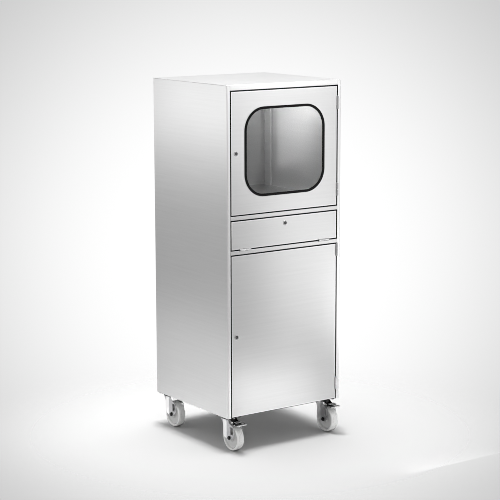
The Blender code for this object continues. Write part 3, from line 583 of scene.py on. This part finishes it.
def window_gasket():
    """H-shaped rubber profile that grips the door's edge on one side and the pane on the other."""
    low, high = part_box("window_gasket")
    centre = (low + high) / 2
    half_x = (high.x - low.x) / 2 - PROFILE_HALF
    half_z = (high.z - low.z) / 2 - PROFILE_HALF
    part = bmesh.new()
    loops = []
    for outward, forward in PROFILE_SECTION:
        outline = rounded_rectangle(half_x + outward * MM, half_z + outward * MM,
                                    WINDOW_RADIUS + outward * MM, 16)
        loops.append([part.verts.new((x, -forward * MM, z)) for x, z in outline])
    count = len(loops[0])
    for loop, following in zip(loops, loops[1:] + loops[:1]):
        for i in range(count):
            j = (i + 1) % count
            part.faces.new((loop[i], loop[j], following[j], following[i]))
    solid = Solid()
    solid.take(part, Matrix.Translation(centre))
    solid.done("window_rubber_profile", "upper_door", RUBBER_AND_GAP_SHADE_BLACK, ["window_gasket"])


# ---------------------------------------------------------------- black strips that paint shade in the gaps

GAP = 4 * MM
# black strips that paint shade in the gaps, lapping over the rounded edges beside them:
SHADE_STRIP = 1.0 * MM               # thickness in the gap
SHADE_STRIP_DEPTH = 19 * MM          # from the faces of the doors to the strips' back edges
SHADE_STRIP_LAP = 1.0 * MM           # over the rounded edges on both sides of it
SHADE_STRIP_LAP_DEPTH = 1.3 * MM
SHADE_STRIP_START = 0.35 * MM        # behind the faces of the doors
SHORTEST_STRIP = 3 * MM
HINGE_ROOM = 1.5 * MM         # left free beyond each end of a hinge


def clear_runs(start, end, blocked):
    """Stretches from start to end outside the blocked (low, high) spans."""
    runs = []
    for low, high in sorted(blocked):
        runs.append((start, low))
        start = high
    return [run for run in runs + [(start, end)] if run[1] - run[0] > SHORTEST_STRIP]


def shade_strip_lining(solid, corners, wide, front, back, sides, blocked):
    """Flat strips lining a rectangle on the inside; blocked maps a side to its hinges' spans."""
    left, bottom, right, top = corners
    upright = (bottom, top)
    level = (left + wide, right - wide)
    runs = {"left": (upright, left, left + wide), "right": (upright, right - wide, right),
            "top": (level, top - wide, top), "bottom": (level, bottom, bottom + wide)}
    for side in sides:
        run, low, high = runs[side]
        for start, end in clear_runs(*run, blocked.get(side, ())):
            outline = rounded_rectangle((end - start) / 2, (high - low) / 2, 0.3 * MM, 3)
            middle_of_run, across = (start + end) / 2, (low + high) / 2
            if side in ("left", "right"):
                place = (Matrix.Translation((across, 0, middle_of_run)) @ FACING_FRONT
                         @ Matrix.Rotation(math.radians(90), 4, "Z"))
            else:
                place = Matrix.Translation((middle_of_run, 0, across)) @ FACING_FRONT
            solid.plate(outline, -back, -front, place, bevel=0.15 * MM)


def gap_shade_strips():
    """Black strips that paint shade in each gap: one set on the frame, one on the edge of the
    leaf.
    """
    for leaf in ("upper_door", "flap", "lower_door"):
        low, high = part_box(leaf)
        hinges = [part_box(name + "_pin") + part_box(name + "_barrel")
                  for name in HINGES if name.startswith(leaf)]
        side, axis = ("bottom", 0) if leaf == "flap" else ("right", 2)
        blocked = {side: [(min(c[axis] for c in box) - HINGE_ROOM,
                           max(c[axis] for c in box) + HINGE_ROOM) for box in hinges]}
        frame_sides = ["left", "right", "top"]
        bottom = low.z
        if leaf != "lower_door":
            frame_sides.append("bottom")
            bottom -= GAP
        for name, body, corners, sides in (
                ("_frame_seal", "cabinet", (low.x - GAP, bottom, high.x + GAP, high.z + GAP),
                 frame_sides),
                ("_edge_seal", leaf, (low.x - SHADE_STRIP, low.z - SHADE_STRIP, high.x + SHADE_STRIP, high.z + SHADE_STRIP),
                 ["left", "right", "top", "bottom"])):
            solid = Solid()
            front = low.y + SHADE_STRIP_START
            shade_strip_lining(solid, corners, SHADE_STRIP, front, low.y + SHADE_STRIP_DEPTH, sides, blocked)
            if body == "cabinet":
                corners = (corners[0] - SHADE_STRIP_LAP, corners[1], corners[2] + SHADE_STRIP_LAP,
                           corners[3] + SHADE_STRIP_LAP)
            shade_strip_lining(solid, corners, SHADE_STRIP + SHADE_STRIP_LAP, front, front + SHADE_STRIP_LAP_DEPTH, sides,
                        blocked)
            solid.done(leaf + name, body, RUBBER_AND_GAP_SHADE_BLACK)


# ---------------------------------------------------------------- barrel hinges

def barrel_hinges():
    """Two halves each: a fixed one with the pin, and a loose one that lifts off it."""
    radius, pin_radius = 5 * MM, 2.5 * MM
    for name, (body, along) in HINGES.items():
        axis = "xyz".index(along)
        fixed, loose = (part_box(name + end) for end in ("_pin", "_barrel"))
        upward = sum(c[axis] for c in loose) > sum(c[axis] for c in fixed)
        turn = ALONG_Z if along == "z" else ALONG_X
        if not upward:
            turn = turn @ Matrix.Rotation(math.pi, 4, "X")
        start = (loose[0] + loose[1]) / 2
        start[axis] = fixed[0][axis] if upward else fixed[1][axis]
        whole = abs(loose[1][axis] - fixed[0][axis]) if upward else \
            abs(fixed[1][axis] - loose[0][axis])
        half = whole / 2
        matrix = Matrix.Translation(start) @ turn
        solid = Solid()
        solid.turned([
            (0, half + 22 * MM), (1.9 * MM, half + 22 * MM), (pin_radius, half + 21.2 * MM),
            (pin_radius, half - 0.15 * MM), (4.5 * MM, half - 0.15 * MM),
            (radius, half - 0.65 * MM), (radius, 1.4 * MM), (4.8 * MM, 0.7 * MM),
            (4.2 * MM, 0.2 * MM), (3.2 * MM, 0), (0, 0),
        ], 32, matrix)
        solid.done(name + "_fixed_half", "cabinet", POLISHED, [name + "_pin"])
        cap = Solid()
        cap.turned([
            (0, whole), (3.2 * MM, whole), (4.2 * MM, whole - 0.2 * MM),
            (4.8 * MM, whole - 0.7 * MM), (radius, whole - 1.4 * MM),
            (radius, half + 0.65 * MM), (4.5 * MM, half + 0.15 * MM),
            (2.8 * MM, half + 0.15 * MM), (2.8 * MM, half + 23 * MM), (0, half + 23 * MM),
        ], 32, matrix)
        cap.done(name + "_loose_half", body, POLISHED, [name + "_barrel"])


# ---------------------------------------------------------------- quarter-turn locks

LOCKS = {"upper_door_lock": "upper_door", "flap_lock": "flap", "lower_door_lock": "lower_door"}


def quarter_turn_locks():
    """Threaded collar and nut on the leaf; insert with its cam and screw on the lock's body."""
    for name, leaf in LOCKS.items():
        low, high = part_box(name + "_housing")
        face = low.y + 2.5 * MM
        place = Vector(((low.x + high.x) / 2, face, (low.z + high.z) / 2))
        matrix = Matrix.Translation(place) @ FACING_FRONT
        thread = []
        for turn in range(14):
            thread += [(9.0 * MM, (-5.9 - turn) * MM), (8.5 * MM, (-6.4 - turn) * MM)]
        housing = Solid()
        housing.turned([
            (7.5 * MM, 2.0 * MM), (7.9 * MM, 2.4 * MM), (8.4 * MM, 2.5 * MM),
            (10.2 * MM, 2.5 * MM), (10.9 * MM, 2.25 * MM), (11.35 * MM, 1.7 * MM),
            (11.5 * MM, 1.1 * MM), (11.5 * MM, 0.3 * MM), (9.0 * MM, 0.3 * MM), *thread,
            (9.0 * MM, -20.4 * MM), (8.5 * MM, -21 * MM), (5.8 * MM, -21 * MM),
            (5.8 * MM, -8 * MM), (7.5 * MM, -8 * MM),
        ], 48, matrix)
        housing.done(name + "_collar", leaf, POLISHED, [name + "_housing"])
        nut_low, nut_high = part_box(name + "_nut")
        nut = Solid()
        behind, ahead = face - nut_high.y, face - nut_low.y
        nut.turned([(10.6 * MM, behind), (10.6 * MM, ahead), (13.3 * MM, ahead),
                    (13.8 * MM, ahead - 0.5 * MM), (13.8 * MM, behind + 0.5 * MM),
                    (13.3 * MM, behind)], 6, matrix)
        nut.done(name + "_hex_nut", leaf, ZINC, [name + "_nut"])

        insert = Solid()
        insert.turned([
            (0, 1 * MM), (2.3 * MM, 1 * MM), (2.8 * MM, 0.8 * MM), (3 * MM, 0.3 * MM),
            (3 * MM, -4.7 * MM), (7.2 * MM, -4.7 * MM), (7.2 * MM, -7.7 * MM),
            (5.5 * MM, -7.7 * MM), (5.5 * MM, -26.7 * MM), (3.5 * MM, -26.7 * MM),
            (3.5 * MM, -31 * MM), (0, -31 * MM),
        ], 40, matrix)
        wing = arc((4.6 * MM, 0), 1.1 * MM, -90, 90, 6) + arc((-4.6 * MM, 0), 1.1 * MM, 90, 270, 6)
        insert.plate(wing, -5.7 * MM, -0.5 * MM, matrix, bevel=0.2 * MM)
        insert.hexagon(8 * MM, -33.8 * MM, -30.6 * MM, matrix)
        insert.turned([(0, -29.2 * MM), (6 * MM, -29.2 * MM), (6 * MM, -30.4 * MM),
                       (5.6 * MM, -30.8 * MM), (0, -30.8 * MM)], 32, matrix)
        # dark insert: painted shade in the lock's recess
        insert.done(name + "_insert", name, PAINTED_SHADE_STEEL, [name + "_plug"])

        cam_low, cam_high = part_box(name + "_cam")
        cam_middle = (cam_low + cam_high) / 2 - place
        heading = math.atan2(cam_middle.z, cam_middle.x)
        cam_matrix = matrix @ Matrix.Rotation(heading, 4, "Z")
        outline = (arc((0, 0), 6 * MM, 90, 270, 12)
                   + arc((22 * MM, -2 * MM), 4 * MM, -90, 0, 6)
                   + arc((22 * MM, 2 * MM), 4 * MM, 0, 90, 6))
        cam = Solid()
        cam.plate(outline, face - cam_high.y, face - cam_low.y, cam_matrix, bevel=0.35 * MM)
        cam.done(name + "_cam_plate", name, ZINC, [name + "_cam"])


# ---------------------------------------------------------------- castors

WHEEL_PROFILE = (
    # radius and distance from the wheel's middle plane, in mm
    (6.0, 19.2), (6.6, 20.0), (14.8, 20.0), (15.9, 19.2), (16.4, 15.0), (17.4, 11.0),
    (19.5, 9.2), (22.5, 8.8), (45.5, 8.8), (48.0, 9.4), (49.6, 11.2), (50.8, 15.6),
    (51.8, 17.2), (53.4, 18.0), (57.2, 18.0), (59.2, 17.3), (60.8, 15.4), (61.7, 12.0),
    (62.3, 7.0), (62.5, 0.0),
)


def castor_wheels():
    """Nylon wheels, turned from half a profile and its mirror image."""
    half = [(r * MM, a * MM) for r, a in WHEEL_PROFILE]
    profile = half + [(r, -a) for r, a in reversed(half[:-1])]
    for corner in CORNERS:
        centre = middle(corner + "_castor_wheel")
        matrix = Matrix.Translation(centre) @ ALONG_X
        wheel = Solid()
        wheel.turned(profile, 80, matrix)
        wheel.done(corner + "_nylon_wheel", corner + "_wheel", NYLON,
                   [corner + "_castor_wheel"], centre=centre, angle=40)


def castor_axles():
    """Hexagon bolt and lock nut with their washers."""
    for corner in CORNERS:
        centre = middle(corner + "_castor_axle")
        matrix = Matrix.Translation(centre) @ ALONG_X
        axle = Solid()
        axle.turned([(0, 29.5 * MM), (4.2 * MM, 29.5 * MM), (5 * MM, 28.7 * MM),
                     (5 * MM, -24.5 * MM), (0, -24.5 * MM)], 32, matrix)
        axle.hexagon(15 * MM, 25.4 * MM, 30.3 * MM, matrix)
        axle.hexagon(15 * MM, -30.3 * MM, -25.4 * MM, matrix)
        for low, high in ((24.2, 25.6), (-25.6, -24.2)):
            axle.turned([(0, high * MM), (9.2 * MM, high * MM), (9.5 * MM, (high - 0.3) * MM),
                         (9.5 * MM, (low + 0.3) * MM), (9.2 * MM, low * MM), (0, low * MM)],
                        36, matrix)
        axle.done(corner + "_axle_bolt", corner + "_swivel", NEAR_BLACK_STEEL,
                  [corner + "_castor_axle"])


def table(height, rows):
    """Value at a height from (height, value) rows that go down."""
    if height >= rows[0][0]:
        return rows[0][1]
    for (upper, first), (lower, second) in zip(rows, rows[1:]):
        if height >= lower:
            share = (upper - height) / (upper - lower)
            return first + (second - first) * share
    return rows[-1][1]


# a fork's leg, in mm from the middle of its mounting plate: (height, y) down its two edges,
# heights of the rows of its grid, and the edges of the opening in it
LEG_FRONT = ((-10.6, -31), (-26, -35), (-33, -52), (-38, -66), (-44, -74), (-50, -76),
             (-80, -76), (-86, -74), (-92, -69), (-97.5, -62), (-104, -53), (-108.4, -44))
LEG_BACK = ((-10.6, 29), (-18.5, 26), (-28, 16), (-38, 11), (-50, 10), (-86, 10), (-92, 8),
            (-97.5, 3), (-101, -4), (-104, -11), (-108.4, -30))
LEG_HEIGHTS = (-11.2, -12.6, -15, -18.5, -23, -28, -33, -38, -44, -50, -56, -62, -68, -74, -80,
               -86, -92, -97.5, -101, -104, -106.2, -107.7, -108.4)
SLOT_FRONT, SLOT_BACK = -70, -48
SLOT_TOP, SLOT_FOOT = -44, -80
LEG_FACE = 24.0               # outer face of a leg, out from the fork's middle plane
LEG_SHEET = 3.0
BEND, BEND_FOOT = 6.5, -17.7  # radius from crown to leg, and height where it ends
RIB_Y, RIB_HALF, RIB_SLOPE, RIB_RISE = -5.5, 10.5, 4.0, 1.5
RIB_TOP, RIB_FOOT = -12, -92  # heights where the rib has faded away
COLUMNS = 14                  # of the grid, behind the opening


def clamped(value):
    """value, kept within 0..1."""
    return min(max(value, 0.0), 1.0)


def leg_grid(sign, inset):
    """Grid of points over one pressed leg, its outer face for inset 0.

    Four columns lie between the leg's front edge and the back of the opening, so that the
    opening falls between the third and the fourth. Above and below it they spread over the
    same strip, or over 0.3 of the leg's width where its front edge comes near the opening's back.
    """
    grid = []
    for height in LEG_HEIGHTS:
        front, back = table(height, LEG_FRONT), table(height, LEG_BACK)
        bend = BEND - math.sqrt(max(BEND ** 2 - max(height - BEND_FOOT, 0.0) ** 2, 0.0))
        fade = clamped((height - RIB_FOOT) / 16) * clamped((RIB_TOP - height) / 8)
        if SLOT_FOOT - 1 < height < SLOT_TOP + 1:
            stops = [front, front / 2 + SLOT_FRONT / 2, SLOT_FRONT, SLOT_BACK]
        elif front > SLOT_BACK - 8:
            stops = [front + (back - front) * share for share in (0, 0.06, 0.12, 0.3)]
        else:
            stops = [front + (SLOT_BACK - front) * share for share in (0, 0.12, 0.24, 1)]
        last = stops[-1]
        stops += [last + (back - last) * step / COLUMNS for step in range(1, COLUMNS + 1)]
        row = []
        for y in stops:
            raised = 1 - clamped((abs(y - RIB_Y) - RIB_HALF) / RIB_SLOPE)
            raised = raised * raised * (3 - 2 * raised)
            x = LEG_FACE - inset - bend + RIB_RISE * raised * fade
            row.append(Vector((sign * x, y, height)) * MM)
        grid.append(row)
    return grid


def swivel_point(corner):
    """Middle of the castor's mounting plate, at the cabinet's underside."""
    plate_low, plate_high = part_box(corner + "_castor_plate")
    point = (plate_low + plate_high) / 2
    point.z = plate_high.z + 0.3 * MM
    return point


def castor_forks():
    """Forks with their race, two pressed legs and pedal ears; mounting plates and bolts."""
    for corner in CORNERS:
        swivel = swivel_point(corner)
        matrix = Matrix.Translation(swivel)
        fork = Solid()
        fork.turned([
            (7 * MM, -9.1 * MM), (26.6 * MM, -9.1 * MM), (27.7 * MM, -8.5 * MM),
            (28 * MM, -7.4 * MM), (28 * MM, -5.6 * MM), (28.8 * MM, -4.8 * MM),
            (32.0 * MM, -4.8 * MM), (32.8 * MM, -5.3 * MM), (33 * MM, -6.2 * MM),
            (33 * MM, -11.4 * MM), (32.3 * MM, -13 * MM), (30.6 * MM, -13.8 * MM),
            (7 * MM, -13.8 * MM),
        ], 56, matrix)
        for sign in (-1, 1):
            rows = [LEG_HEIGHTS.index(height) for height in (SLOT_TOP, SLOT_FOOT)]
            fork.shell(leg_grid(sign, 0), leg_grid(sign, LEG_SHEET), matrix, bevel=0.5 * MM,
                       opening=(*rows, 2, 3))
            if corner in BRAKED:
                ear = (arc((-38 * MM, -14 * MM), 5 * MM, 150, 330, 10)
                       + [(-27 * MM, -12 * MM), (-27 * MM, -9.4 * MM), (-42.5 * MM, -9.4 * MM)])
                near, far = sorted((sign * 15.6 * MM, sign * 18.6 * MM))
                fork.plate(ear, near, far, matrix @ SIDE_ON, bevel=0.4 * MM)
        fork.done(corner + "_pressed_fork", corner + "_swivel", FORK, [corner + "_castor_fork"],
                  centre=swivel)

        plate = Solid()
        plate.plate(rounded_rectangle(42.5 * MM, 50 * MM, 7 * MM), -3.3 * MM, -0.3 * MM,
                    matrix, bevel=0.5 * MM)
        plate.turned([
            (0, -3 * MM), (26.4 * MM, -3 * MM), (27 * MM, -3.6 * MM), (27 * MM, -6.9 * MM),
            (26.5 * MM, -7.9 * MM), (25.4 * MM, -8.5 * MM), (6 * MM, -8.5 * MM),
            (6 * MM, -16.9 * MM), (5.2 * MM, -17.6 * MM), (4 * MM, -17.8 * MM), (0, -17.8 * MM),
        ], 56, matrix)
        # near-black plate: painted shade under the cabinet
        plate.done(corner + "_mounting_plate", "cabinet", NEAR_BLACK_STEEL,
                   [corner + "_castor_plate"])

        bolts = Solid()
        for x in (-33, 33):
            for y in (-39.5, 39.5):
                spot = matrix @ Matrix.Translation((x * MM, y * MM, 0))
                bolts.turned([(0, -3.25 * MM), (7.8 * MM, -3.25 * MM), (8 * MM, -3.5 * MM),
                              (8 * MM, -4.5 * MM), (7.8 * MM, -4.8 * MM), (0, -4.8 * MM)],
                             28, spot)
                bolts.hexagon(13 * MM, -8.9 * MM, -4.7 * MM, spot)
        # dark bolts: painted shade under the cabinet
        bolts.done(corner + "_castor_bolts", "cabinet", PAINTED_SHADE_STEEL)


PEDAL_PATH = (
    # forward from the swivel, down from the body and half width, in mm
    (-40.2, -12.5, 15), (-40.6, -16, 15), (-42, -19.2, 15), (-45, -20.7, 15), (-52, -20.9, 15),
    (-60, -20.9, 15), (-67, -21.1, 15.5), (-70.5, -22.2, 17), (-73, -24.6, 20),
    (-75.5, -26.2, 23.5), (-78.5, -26.7, 26), (-82, -26.4, 27), (-84.5, -25.9, 27),
    (-87, -26.4, 27), (-90.5, -26.6, 27), (-93, -26.0, 27), (-95.5, -26.5, 27),
    (-99, -26.6, 27), (-101.5, -26.0, 27), (-104, -26.5, 27), (-107, -26.7, 26.6),
    (-109.5, -26.9, 25.4), (-111.5, -27.2, 23.2), (-112.6, -27.5, 20.5),
)
PEDAL_TAB = (
    (-67.2, -17.7, 13), (-68.6, -17.7, 15.6), (-71, -17.7, 17.2), (-75, -17.7, 18),
    (-80, -17.7, 18), (-85, -17.9, 18), (-88, -18.2, 17), (-89.8, -18.5, 14.5),
    (-90.6, -18.7, 11.5),
)
PEDAL_SHEET = 2.3


def bent_sheet(path, thickness):
    """Two grids for a sheet that follows a path in the YZ plane, in mm."""
    points = [Vector((y, z)) for y, z, _ in path]
    upper, lower = [], []
    for i, (y, z, half) in enumerate(path):
        before, after = points[max(i - 1, 0)], points[min(i + 1, len(points) - 1)]
        run = (after - before).normalized()
        lift = Vector((run.y, -run.x)) * thickness / 2
        columns = (-1, -0.94, -0.7, -0.35, 0, 0.35, 0.7, 0.94, 1)
        upper.append([Vector((c * half, y + lift.x, z + lift.y)) * MM for c in columns])
        lower.append([Vector((c * half, y - lift.x, z - lift.y)) * MM for c in columns])
    return upper, lower


def brake_pedals():
    """Tread with a tab above it, on an arm with two cheeks, a shoe and a pin."""
    for corner in BRAKED:
        swivel = swivel_point(corner)
        matrix = Matrix.Translation(swivel)
        pedal = Solid()
        pedal.shell(*bent_sheet(PEDAL_PATH, PEDAL_SHEET), matrix, bevel=0.35 * MM)
        pedal.shell(*bent_sheet(PEDAL_TAB, PEDAL_SHEET), matrix, bevel=0.35 * MM)
        post = rounded_rectangle(6 * MM, 2.6 * MM, 1 * MM, 4)
        pedal.plate(post, -21.5 * MM, -17.5 * MM,
                    matrix @ Matrix.Translation((0, -70.4 * MM, 0)))
        cheek = ([(-40.4 * MM, -11.2 * MM), (-45 * MM, -11.8 * MM), (-60 * MM, -18.4 * MM),
                  (-66 * MM, -20.6 * MM), (-42 * MM, -20.6 * MM), (-40.4 * MM, -17 * MM)])
        for low, high in ((-14.9, -12.7), (12.7, 14.9)):
            pedal.plate(cheek, low * MM, high * MM, matrix @ SIDE_ON, bevel=0.3 * MM)
        shoe = rounded_rectangle(10 * MM, 6 * MM, 1.5 * MM, 4)
        pedal.plate(shoe, -35.2 * MM, -20.8 * MM,
                    matrix @ Matrix.Translation((0, -56 * MM, 0)), bevel=0.6 * MM)
        pedal.turned([(0, 15 * MM), (2.2 * MM, 15 * MM), (2.5 * MM, 14.7 * MM),
                      (2.5 * MM, -14.7 * MM), (2.2 * MM, -15 * MM), (0, -15 * MM)], 24,
                     matrix @ Matrix.Translation((0, -38 * MM, -14 * MM)) @ ALONG_X)
        pedal.done(corner + "_pressed_pedal", corner + "_pedal", PEDAL,
                   [corner + "_brake_pedal"], centre=swivel)


# ---------------------------------------------------------------- stage, lights, camera

VIEW_BACK = Vector((-0.5666, -0.8055, 0.1737)).normalized()  # against the line of sight
CAMERA_PLACE = (-4.407, -6.269, 2.223)
ROLL = math.radians(-0.12)
LENS = 118.33                 # mm, on a sensor 36 mm wide
FLOOR_RADIUS = 2.1
FLOOR_FADE = (0.55, 1.45)     # where the floor starts to fade, and where it is gone


def camera():
    """Camera at the photo's viewing angle."""
    data = bpy.data.cameras.new("camera")
    data.sensor_width = 36.0
    data.lens = LENS
    data.clip_end = 500.0
    made = bpy.data.objects.new("camera", data)
    bpy.context.scene.collection.objects.link(made)
    made.location = CAMERA_PLACE
    made.rotation_mode = "QUATERNION"
    made.rotation_quaternion = ((-VIEW_BACK).to_track_quat("-Z", "Y")
                                @ Matrix.Rotation(ROLL, 4, "Z").to_quaternion())
    bpy.context.scene.camera = made


def world():
    """Bright above the horizon, quieter below it, with a glow behind the cabinet."""
    made = bpy.data.worlds.new("studio")
    bpy.context.scene.world = made
    made.use_nodes = True
    tree = Tree(made.node_tree)
    background = made.node_tree.nodes["Background"]
    direction = tree.node("ShaderNodeTexCoord").outputs["Generated"]
    split = tree.node("ShaderNodeSeparateXYZ")
    tree.link(direction, split.inputs[0])
    dome = tree.step(split.outputs[2], 0.0, 0.16, 0.0, 0.18)
    dot = tree.node("ShaderNodeVectorMath", operation="DOT_PRODUCT")
    tree.link(direction, dot.inputs[0])
    dot.inputs[1].default_value = tuple(-VIEW_BACK)
    off_centre = tree.math("ARCCOSINE", dot.outputs["Value"])
    glow = tree.step(off_centre, math.radians(3.5), math.radians(15.5), 0.49, 0.0)
    base = tree.step(off_centre, math.radians(16.0), math.radians(50.0), 0.53, 0.40)
    tree.link(tree.grey(tree.math("ADD", tree.math("ADD", base, dome), glow)),
              background.inputs["Color"])


def stage_floor():
    """Pale floor that fades out into the studio."""
    made, tree, shader = material("studio_floor", Roughness=0.9)
    x, y, _, _ = tree.place()
    reach = tree.math("SQRT", tree.math("ADD", tree.math("MULTIPLY", x, x),
                                        tree.math("MULTIPLY", y, y)))
    shader.inputs["Base Color"].default_value = (0.46, 0.46, 0.46, 1.0)
    shader.inputs["Specular IOR Level"].default_value = 0.1
    tree.link(tree.step(reach, *FLOOR_FADE, 1.0, 0.0), shader.inputs["Alpha"])
    bm = bmesh.new()
    bmesh.ops.create_circle(bm, cap_ends=True, segments=96, radius=FLOOR_RADIUS)
    mesh = bpy.data.meshes.new("studio_floor")
    bm.to_mesh(mesh)
    bm.free()
    mesh.materials.append(made)
    floor = bpy.data.objects.new("studio_floor", mesh)
    bpy.context.scene.collection.objects.link(floor)
    return floor


def softbox(name, place, target, size, radiance):
    """Rectangular lamp of even radiance that the camera does not see."""
    data = bpy.data.lights.new(name, "AREA")
    data.shape = "RECTANGLE"
    data.size, data.size_y = size
    data.energy = radiance * math.pi * size[0] * size[1]
    made = bpy.data.objects.new(name, data)
    bpy.context.scene.collection.objects.link(made)
    made.location = place
    made.rotation_mode = "QUATERNION"
    made.rotation_quaternion = (Vector(target) - Vector(place)).to_track_quat("-Z", "Y")
    made.visible_camera = False
    return made


def floor_wash(floor):
    """Lights the floor alone; only the base tray and the castors shade it."""
    wash = softbox("floor_wash", (-0.08, 0.1, 2.2), (-0.08, 0.1, 0), (0.75, 0.75), 29.6)
    shading = [each for each in bpy.data.objects
               if each.type == "MESH" and each.name.startswith(CORNERS + ("base_tray",))]
    for kind, members in (("receiver", [floor]), ("blocker", shading)):
        group = bpy.data.collections.new("floor_wash_" + kind)
        for member in members:
            group.objects.link(member)
        setattr(wash.light_linking, kind + "_collection", group)


def lights():
    """Overhead boxes, cards for the steel to mirror, and lamps inside the upper compartment."""
    softbox("overhead", (0.3, 0.5, 4.2), (0, 0, 0), (2.6, 2.6), 7.0)
    softbox("overhead_left", (-2.2, 0.8, 3.4), (0, 0, 0.4), (1.6, 1.6), 2.0)
    for name, z, height, radiance in (("card_left_top", 1.475, 0.50, 1.02),
                                      ("card_left_middle", 1.10, 0.25, 0.25),
                                      ("card_left_foot", 0.09, 0.18, 0.50),
                                      ("card_left_under", -0.15, 0.28, 0.50)):
        softbox(name, (-1.35, 1.4, z), (0, 1.4, z), (1.5, height), radiance)
    for name, x, z, width, height, radiance in (
            ("card_front_wide", 1.00, 1.10, 0.6, 1.8, 0.64),
            ("card_front_top", 0.70, 1.85, 1.2, 0.3, 1.40),
            ("card_front_high", 0.55, 1.55, 0.3, 0.9, 0.62),
            ("card_front_middle", 0.70, 0.80, 0.6, 0.6, 0.13),
            ("card_front_low", 1.45, 0.26, 0.3, 0.48, 3.4)):
        softbox(name, (x, -1.4, z), (x, 0, z), (width, height), radiance)
    for name, x, z, size, radiance in (
            ("card_front_foot", 0.45, 0.04, (0.5, 0.12), 1.55),
            ("card_front_foot_left", 0.25, 0.05, (0.2, 0.16), 1.2)):
        softbox(name, (x, -1.0, z), (x, 0, z), size, radiance)
    softbox("inside_left", (-0.30, 0, 1.63), (0, 0, 1.63), (0.12, 0.10), 74)
    softbox("inside_back_high", (0.14, 0.30, 1.50), (0.2, 0, 1.50), (0.2, 0.26), 0.55)
    softbox("inside_back_low", (0.14, 0.30, 1.42), (0.2, 0, 1.42), (0.2, 0.42), 0.35)


dress_sheets()
window_gasket()
gap_shade_strips()
barrel_hinges()
quarter_turn_locks()
castor_wheels()
castor_axles()
castor_forks()
brake_pedals()
camera()
world()
floor_wash(stage_floor())
lights()
bpy.context.scene.view_settings.view_transform = "Standard"
bpy.context.scene.cycles.filter_width = 0.9
